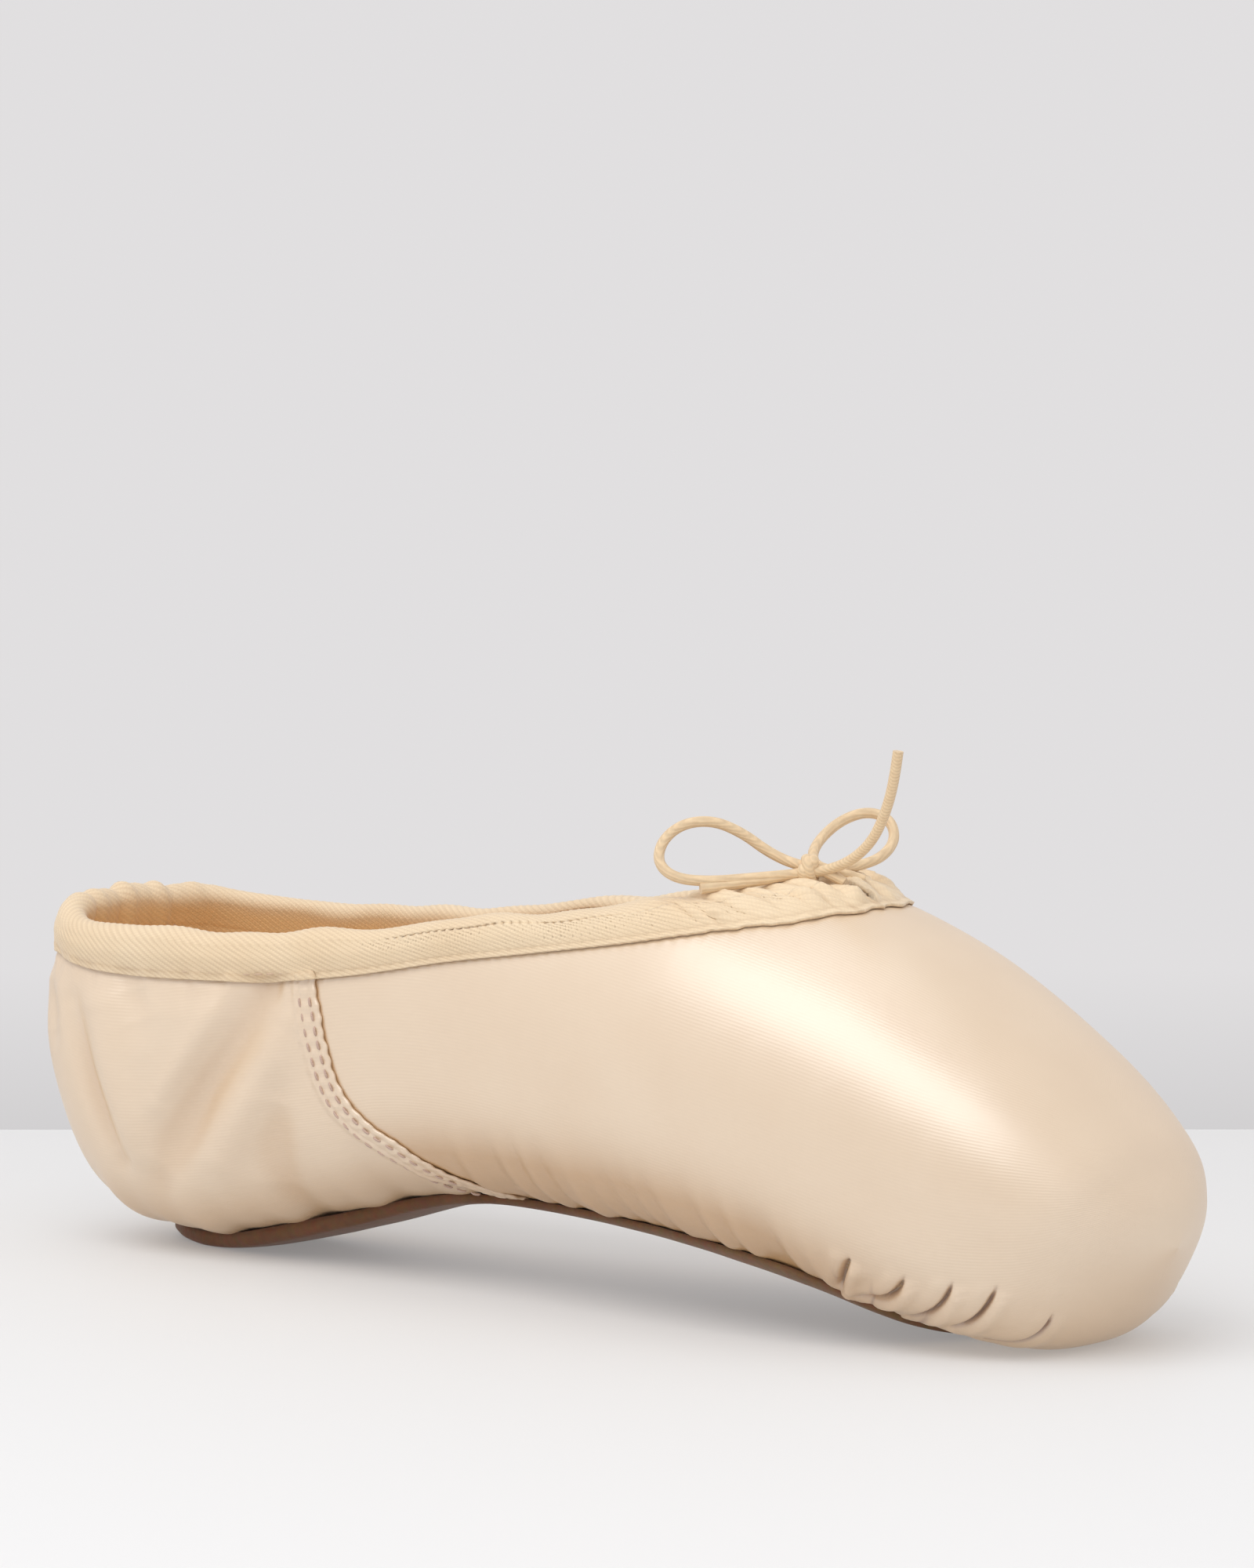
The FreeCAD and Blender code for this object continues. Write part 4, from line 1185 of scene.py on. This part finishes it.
def makeBinding():
    levels = bandLevels()
    p = np.array([ringPoints(bandLevel(v[0], v[1]), v[2], binding["around"]) for v in levels])
    height = np.array([v[3] for v in levels])[:, None]
    s = np.linspace(0, 1, binding["around"], endpoint=False)[None, :] * binding["length"]
    fromThroat = np.minimum(s, binding["length"] - s)
    side = np.where(s < binding["length"] / 2, 1.0, -1.0)
    du = np.roll(p, -1, 1) - np.roll(p, 1, 1)
    dv = np.gradient(p, axis=0)
    n = np.cross(du, dv)
    n /= np.linalg.norm(n, axis=-1, keepdims=True)
    if n[3, binding["around"] // 4, 1] < 0:
        n = -n
    rib, cell = bandRibs(height, fromThroat, side)
    gather = 1 - smoothStep(fromThroat, binding["gatherReach"] * 0.25, binding["gatherReach"])
    gathers, folds = bandGathers(s, height, gather)
    lift = binding["ribHeight"] * (rib ** 0.8) * cell + gathers
    pillow = np.sin(np.clip((height - 1.3) / 5.6, 0, 1) * math.pi)
    lift += 0.15 * pillow - 0.66 * (1 - smoothStep(height, 1.2, 4.5))
    lift -= 0.22 * np.exp(-((height - binding["stitchLine"]) / 0.35) ** 2)
    lift -= 0.1 * np.exp(-((height - (18.2 - binding["stitchLine"])) / 0.35) ** 2)
    ripple = np.sin(s / 5.3 + 1.1 * np.sin(s / 11)) + 0.5 * np.sin(s / 2.3 + 2)
    lift += 0.16 * ripple * smoothStep(height, 1.0, 6.0)
    heelFolds = smoothStep(fromThroat, 165, 182) * smoothStep(height, 3.0, 9.0)
    lift += 0.35 * heelFolds * (np.sin(s / 1.25 + 0.8) + 0.6 * np.sin(s / 0.7))
    p = p + n * lift[..., None]
    along = dv / np.linalg.norm(dv, axis=-1, keepdims=True)
    scallop = 0.45 * gather * np.sin(s / 1.45 + 1.7 * np.sin(s / 4.3)) * (1 - smoothStep(height, 0.8, 3.5))
    p += along * scallop[..., None]
    p = layDown(p, n, height)
    wave = 0.28 * np.sin(s / 6.1 + 0.7) + 0.16 * np.sin(s / 2.9) + 0.55 * gather * np.sin(s / 1.9 + 1.2)
    p[..., 2] += wave * smoothStep(height, 3.0, 6.5) * (1 - smoothStep(height, 12.0, 15.0))
    # painted shade in the rib valleys, between the cells, in the gathered folds and along the stitch line
    creaseShadeMark = (0.34 * (1 - rib) + 0.1 * (1 - cell)) * (1 - 0.6 * gather)
    creaseShadeMark += 0.25 * gather * smoothStep(-folds, 0.4, 1.8)
    creaseShadeMark += 0.2 * np.exp(-((height - binding["stitchLine"]) / 0.3) ** 2)
    coordinates = np.stack([np.repeat(s, len(levels), 0), np.repeat(height, binding["around"], 1)], -1)
    # painted shade: the inner leg of the band, inside the shoe, is tinted darker and warmer
    paintedShade = 0.85 * smoothStep(height, 10.2, 14.2) + 0 * s
    thing = clothPiece("toplineBinding", p, twillFinish, coordinates, np.clip(creaseShadeMark, 0, 1), False,
                       closeColumns=True, thickness=binding["thickness"], paintedShade=paintedShade)
    return finishPiece(thing, "topline_binding", False)


makeBinding()
print("binding ready")

# tape inside the back seam

def makeTape():
    stations = np.linspace(0.0, 2.4, 241)
    depth = np.full(stations.shape, 2.45)
    want = np.linspace(0, 5.0, 12)
    tapeRows = []
    for height in np.linspace(22.0, 50.0, 60):
        low = np.full(stations.shape, -quarterTurn)
        high = np.full(stations.shape, quarterTurn)
        for i in range(30):
            angle = (low + high) / 2
            below = skin(stations, angle, depth)[:, 2] < height
            low = np.where(below, angle, low)
            high = np.where(below, high, angle)
        q = skin(stations, angle, depth)
        first = np.maximum.accumulate(q[:, 1])
        row = np.stack([np.interp(want, first, q[:, i]) for i in range(3)], 1)
        row[:, 1] = want
        row[0] = row[0] * [1, 0, 1]
        tapeRows.append(np.concatenate([row[:0:-1] * [1, -1, 1], row]))
    p = np.array(tapeRows)
    p[..., 0] += 0.06 * np.sin(p[..., 2] / 1.7) + 0.12 * np.exp(-((np.abs(p[..., 1]) - 3.9) / 0.3) ** 2)
    flat = np.stack([p[..., 1], p[..., 2]], -1)
    thing = clothPiece("backSeamTape", p, cottonFinish, flat, None, False, thickness=0.5)
    return finishPiece(thing, "back_seam_tape", False)


makeTape()

# sewing

def evenLine(points, pitch):
    run = np.concatenate([[0], np.cumsum(np.linalg.norm(np.diff(points, axis=0), axis=1))])
    count = max(int(round(run[-1] / pitch)), 1)
    want = np.linspace(0, run[-1], count + 1)
    return np.stack([np.interp(want, run, points[:, i]) for i in range(3)], 1)


def capsule(a, b, radius, out):
    # one stitch: a short round thread that dives into the cloth at both ends
    along = b - a
    length = np.linalg.norm(along)
    along = along / length
    side = np.cross(along, out)
    side /= np.linalg.norm(side)
    vertices, faces = [], []
    spots = [(0.0, 0.25, -0.8), (0.06, 0.7, -0.35), (0.2, 1.0, 0.0), (0.5, 1.05, 0.25), (0.8, 1.0, 0.0),
             (0.94, 0.7, -0.35), (1.0, 0.25, -0.8)]
    for t, size, rise in spots:
        centre = a + along * length * t + out * rise * radius
        for k in range(8):
            turn = 2 * math.pi * k / 8
            spot = centre + (side * math.cos(turn) + out * math.sin(turn)) * radius * size
            vertices.append(tuple(spot * mm))
    for i in range(len(spots) - 1):
        for k in range(8):
            k2 = (k + 1) % 8
            faces.append([i * 8 + k, i * 8 + k2, i * 8 + 8 + k2, i * 8 + 8 + k])
    faces.append(list(range(8))[::-1])
    faces.append([len(spots) * 8 - 8 + k for k in range(8)])
    return vertices, faces


def sewLine(points, outs, closed):
    parts = []
    count = len(points) if closed else len(points) - 1
    for i in range(count):
        a, b = points[i], points[(i + 1) % len(points)]
        gap = (1 - thread["length"] / thread["pitch"]) / 2
        shift = 0.06 * math.sin(i * 2.4)
        a, b = a + (b - a) * (gap + shift * 0.3), b - (b - a) * (gap - shift * 0.3)
        parts.append(capsule(a, b, thread["diameter"] / 2, outs[i]))
    return parts


def sewingPiece(name, parts, cadNode, paint=threadPaint):
    return finishPiece(joinMeshes(name, parts, paint), cadNode, False)


def ringSewing(name, depth, sign, cadNode):
    def line(x):
        return lineAt(bindingEdge, np.minimum(x, throatFront)) + binding["stitchLine"]
    ring = ringPoints(line, depth, 1200)
    points = evenLine(np.vstack([ring, ring[:1]]), thread["pitch"])[:-1]
    further = ringPoints(line, depth - sign, 1200)
    base = np.array([ring[np.argmin(np.linalg.norm(ring - p, axis=1))] for p in points])
    tips = np.array([further[np.argmin(np.linalg.norm(further - p, axis=1))] for p in points])
    outs = tips - base
    outs /= np.linalg.norm(outs, axis=1, keepdims=True)
    return sewingPiece(name, sewLine(points, outs, True), cadNode, paleThread)


def seamSewing(name, side, cadNode):
    parts = []
    for back in thread["rows"]:
        station = seamStation(-back, tableU, satinTable)
        angles = anglesFor(station[None, :], tableU, satinTable)[0]
        lift = 0.5 if back < 3 else 0.42
        p = formPoint(station, angles) + outward(station, angles) * lift
        keep = (p[:, 2] < 49.5) & (p[:, 0] < -19)
        line = evenLine(p[keep], thread["pitch"])
        n = outward(station, angles)[keep]
        outs = np.array([n[np.argmin(np.linalg.norm(p[keep] - q, axis=1))] for q in line])
        parts += sewLine(line * [1, side, 1], outs * [1, side, 1], False)
    return sewingPiece(name, parts, cadNode)


def backSewing():
    angle = np.linspace(0.9 * quarterTurn, -quarterTurn, 60)
    down = formPoint(np.zeros(60), angle)
    under = formPoint(np.linspace(0, 1.5, 30), np.full(30, -quarterTurn))
    p = np.vstack([down, under[1:]]) * [1, 0, 1]
    p = p[p[:, 2] < 51.0]
    p = evenLine(p, thread["pitch"])
    step = np.gradient(p, axis=0)
    outs = np.stack([-np.abs(step[:, 2]), np.zeros(len(p)), -np.abs(step[:, 0])], 1)
    outs /= np.linalg.norm(outs, axis=1, keepdims=True)
    return sewingPiece("backSewing", sewLine(p + outs * 0.1, outs, False), "back_seam_stitching")


ringSewing("bindingSewingOuter", -binding["laid"] - 0.3, 1, "binding_stitching_outer")
ringSewing("bindingSewingInner", binding["within"] + 0.12, -1, "binding_stitching_inner")
seamSewing("sideSewingLeft", 1, "side_seam_stitching_left")
seamSewing("sideSewingRight", -1, "side_seam_stitching_right")
backSewing()
print("sewing ready")

# knot of the bow

def tubeGrid(path, across, up, corners, wide=1.0, tall=1.0):
    # points round a cord that follows a path
    turn = np.linspace(0, 2 * math.pi, corners + 1)[None, :-1, None]
    around = across[:, None] * np.cos(turn) * wide + up[:, None] * np.sin(turn) * tall
    return path[:, None] + cords["diameter"] / 2 * around


def makeKnot():
    axis = np.array(cords["knotAxis"], float)
    axis /= np.linalg.norm(axis)
    up = np.array([0, 0, 1.0]) - axis * axis[2]
    up /= np.linalg.norm(up)
    across = np.cross(axis, up)
    centre = np.array(cords["knotCentre"], float)
    t = np.linspace(0, 1, 130)
    turn = 2 * math.pi * (2.15 * t) + 0.6
    swell = 1 + 0.10 * np.sin(math.pi * t)
    path = centre + axis * ((t - 0.5) * 2.1)[:, None]
    path = path + up * (cords["knotHeight"] * swell * np.cos(turn))[:, None]
    path = path + across * (cords["knotWidth"] * swell * np.sin(turn))[:, None]
    path[:10] = path[:10] + (centre - path[:10]) * (np.linspace(0.55, 0, 10)[:, None])
    path[-10:] = path[-10:] + (centre - path[-10:]) * (np.linspace(0, 0.55, 10)[:, None])
    along = np.gradient(path, axis=0)
    along /= np.linalg.norm(along, axis=1, keepdims=True)
    outs = path - centre - axis * ((path - centre) @ axis)[:, None]
    outs -= along * (outs * along).sum(1, keepdims=True)
    outs /= np.linalg.norm(outs, axis=1, keepdims=True)
    side = np.cross(along, outs)
    grid = tubeGrid(path, side, outs, 16, 1.08, 0.85)
    thing = clothPiece("bowKnot", grid, cordFinish, np.zeros(grid.shape[:2] + (2,)), closeColumns=True)
    return finishPiece(thing, "bow_knot", False)


makeKnot()

# cord inside the folded band

def makeDrawstring():
    middle = (binding["outside"] + binding["within"]) / 2
    ring = ringPoints(bandLevel(1.0, binding["rollHeight"]), middle, 520)
    along = np.roll(ring, -1, 0) - np.roll(ring, 1, 0)
    along /= np.linalg.norm(along, axis=1, keepdims=True)
    side = np.cross(along, [0, 0, 1.0])
    side /= np.linalg.norm(side, axis=1, keepdims=True)
    grid = tubeGrid(ring, side, np.cross(side, along), 12)
    thing = clothPiece("drawstringCord", grid, cordFinish, np.zeros(grid.shape[:2] + (2,)), closeRows=True,
                       closeColumns=True)
    return finishPiece(thing, "drawstring", False)


makeDrawstring()

# what stays from the frame

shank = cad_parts["shank_board"]
shank.data.materials.clear()
shank.data.materials.append(soleFinish)

print("shoe ready")
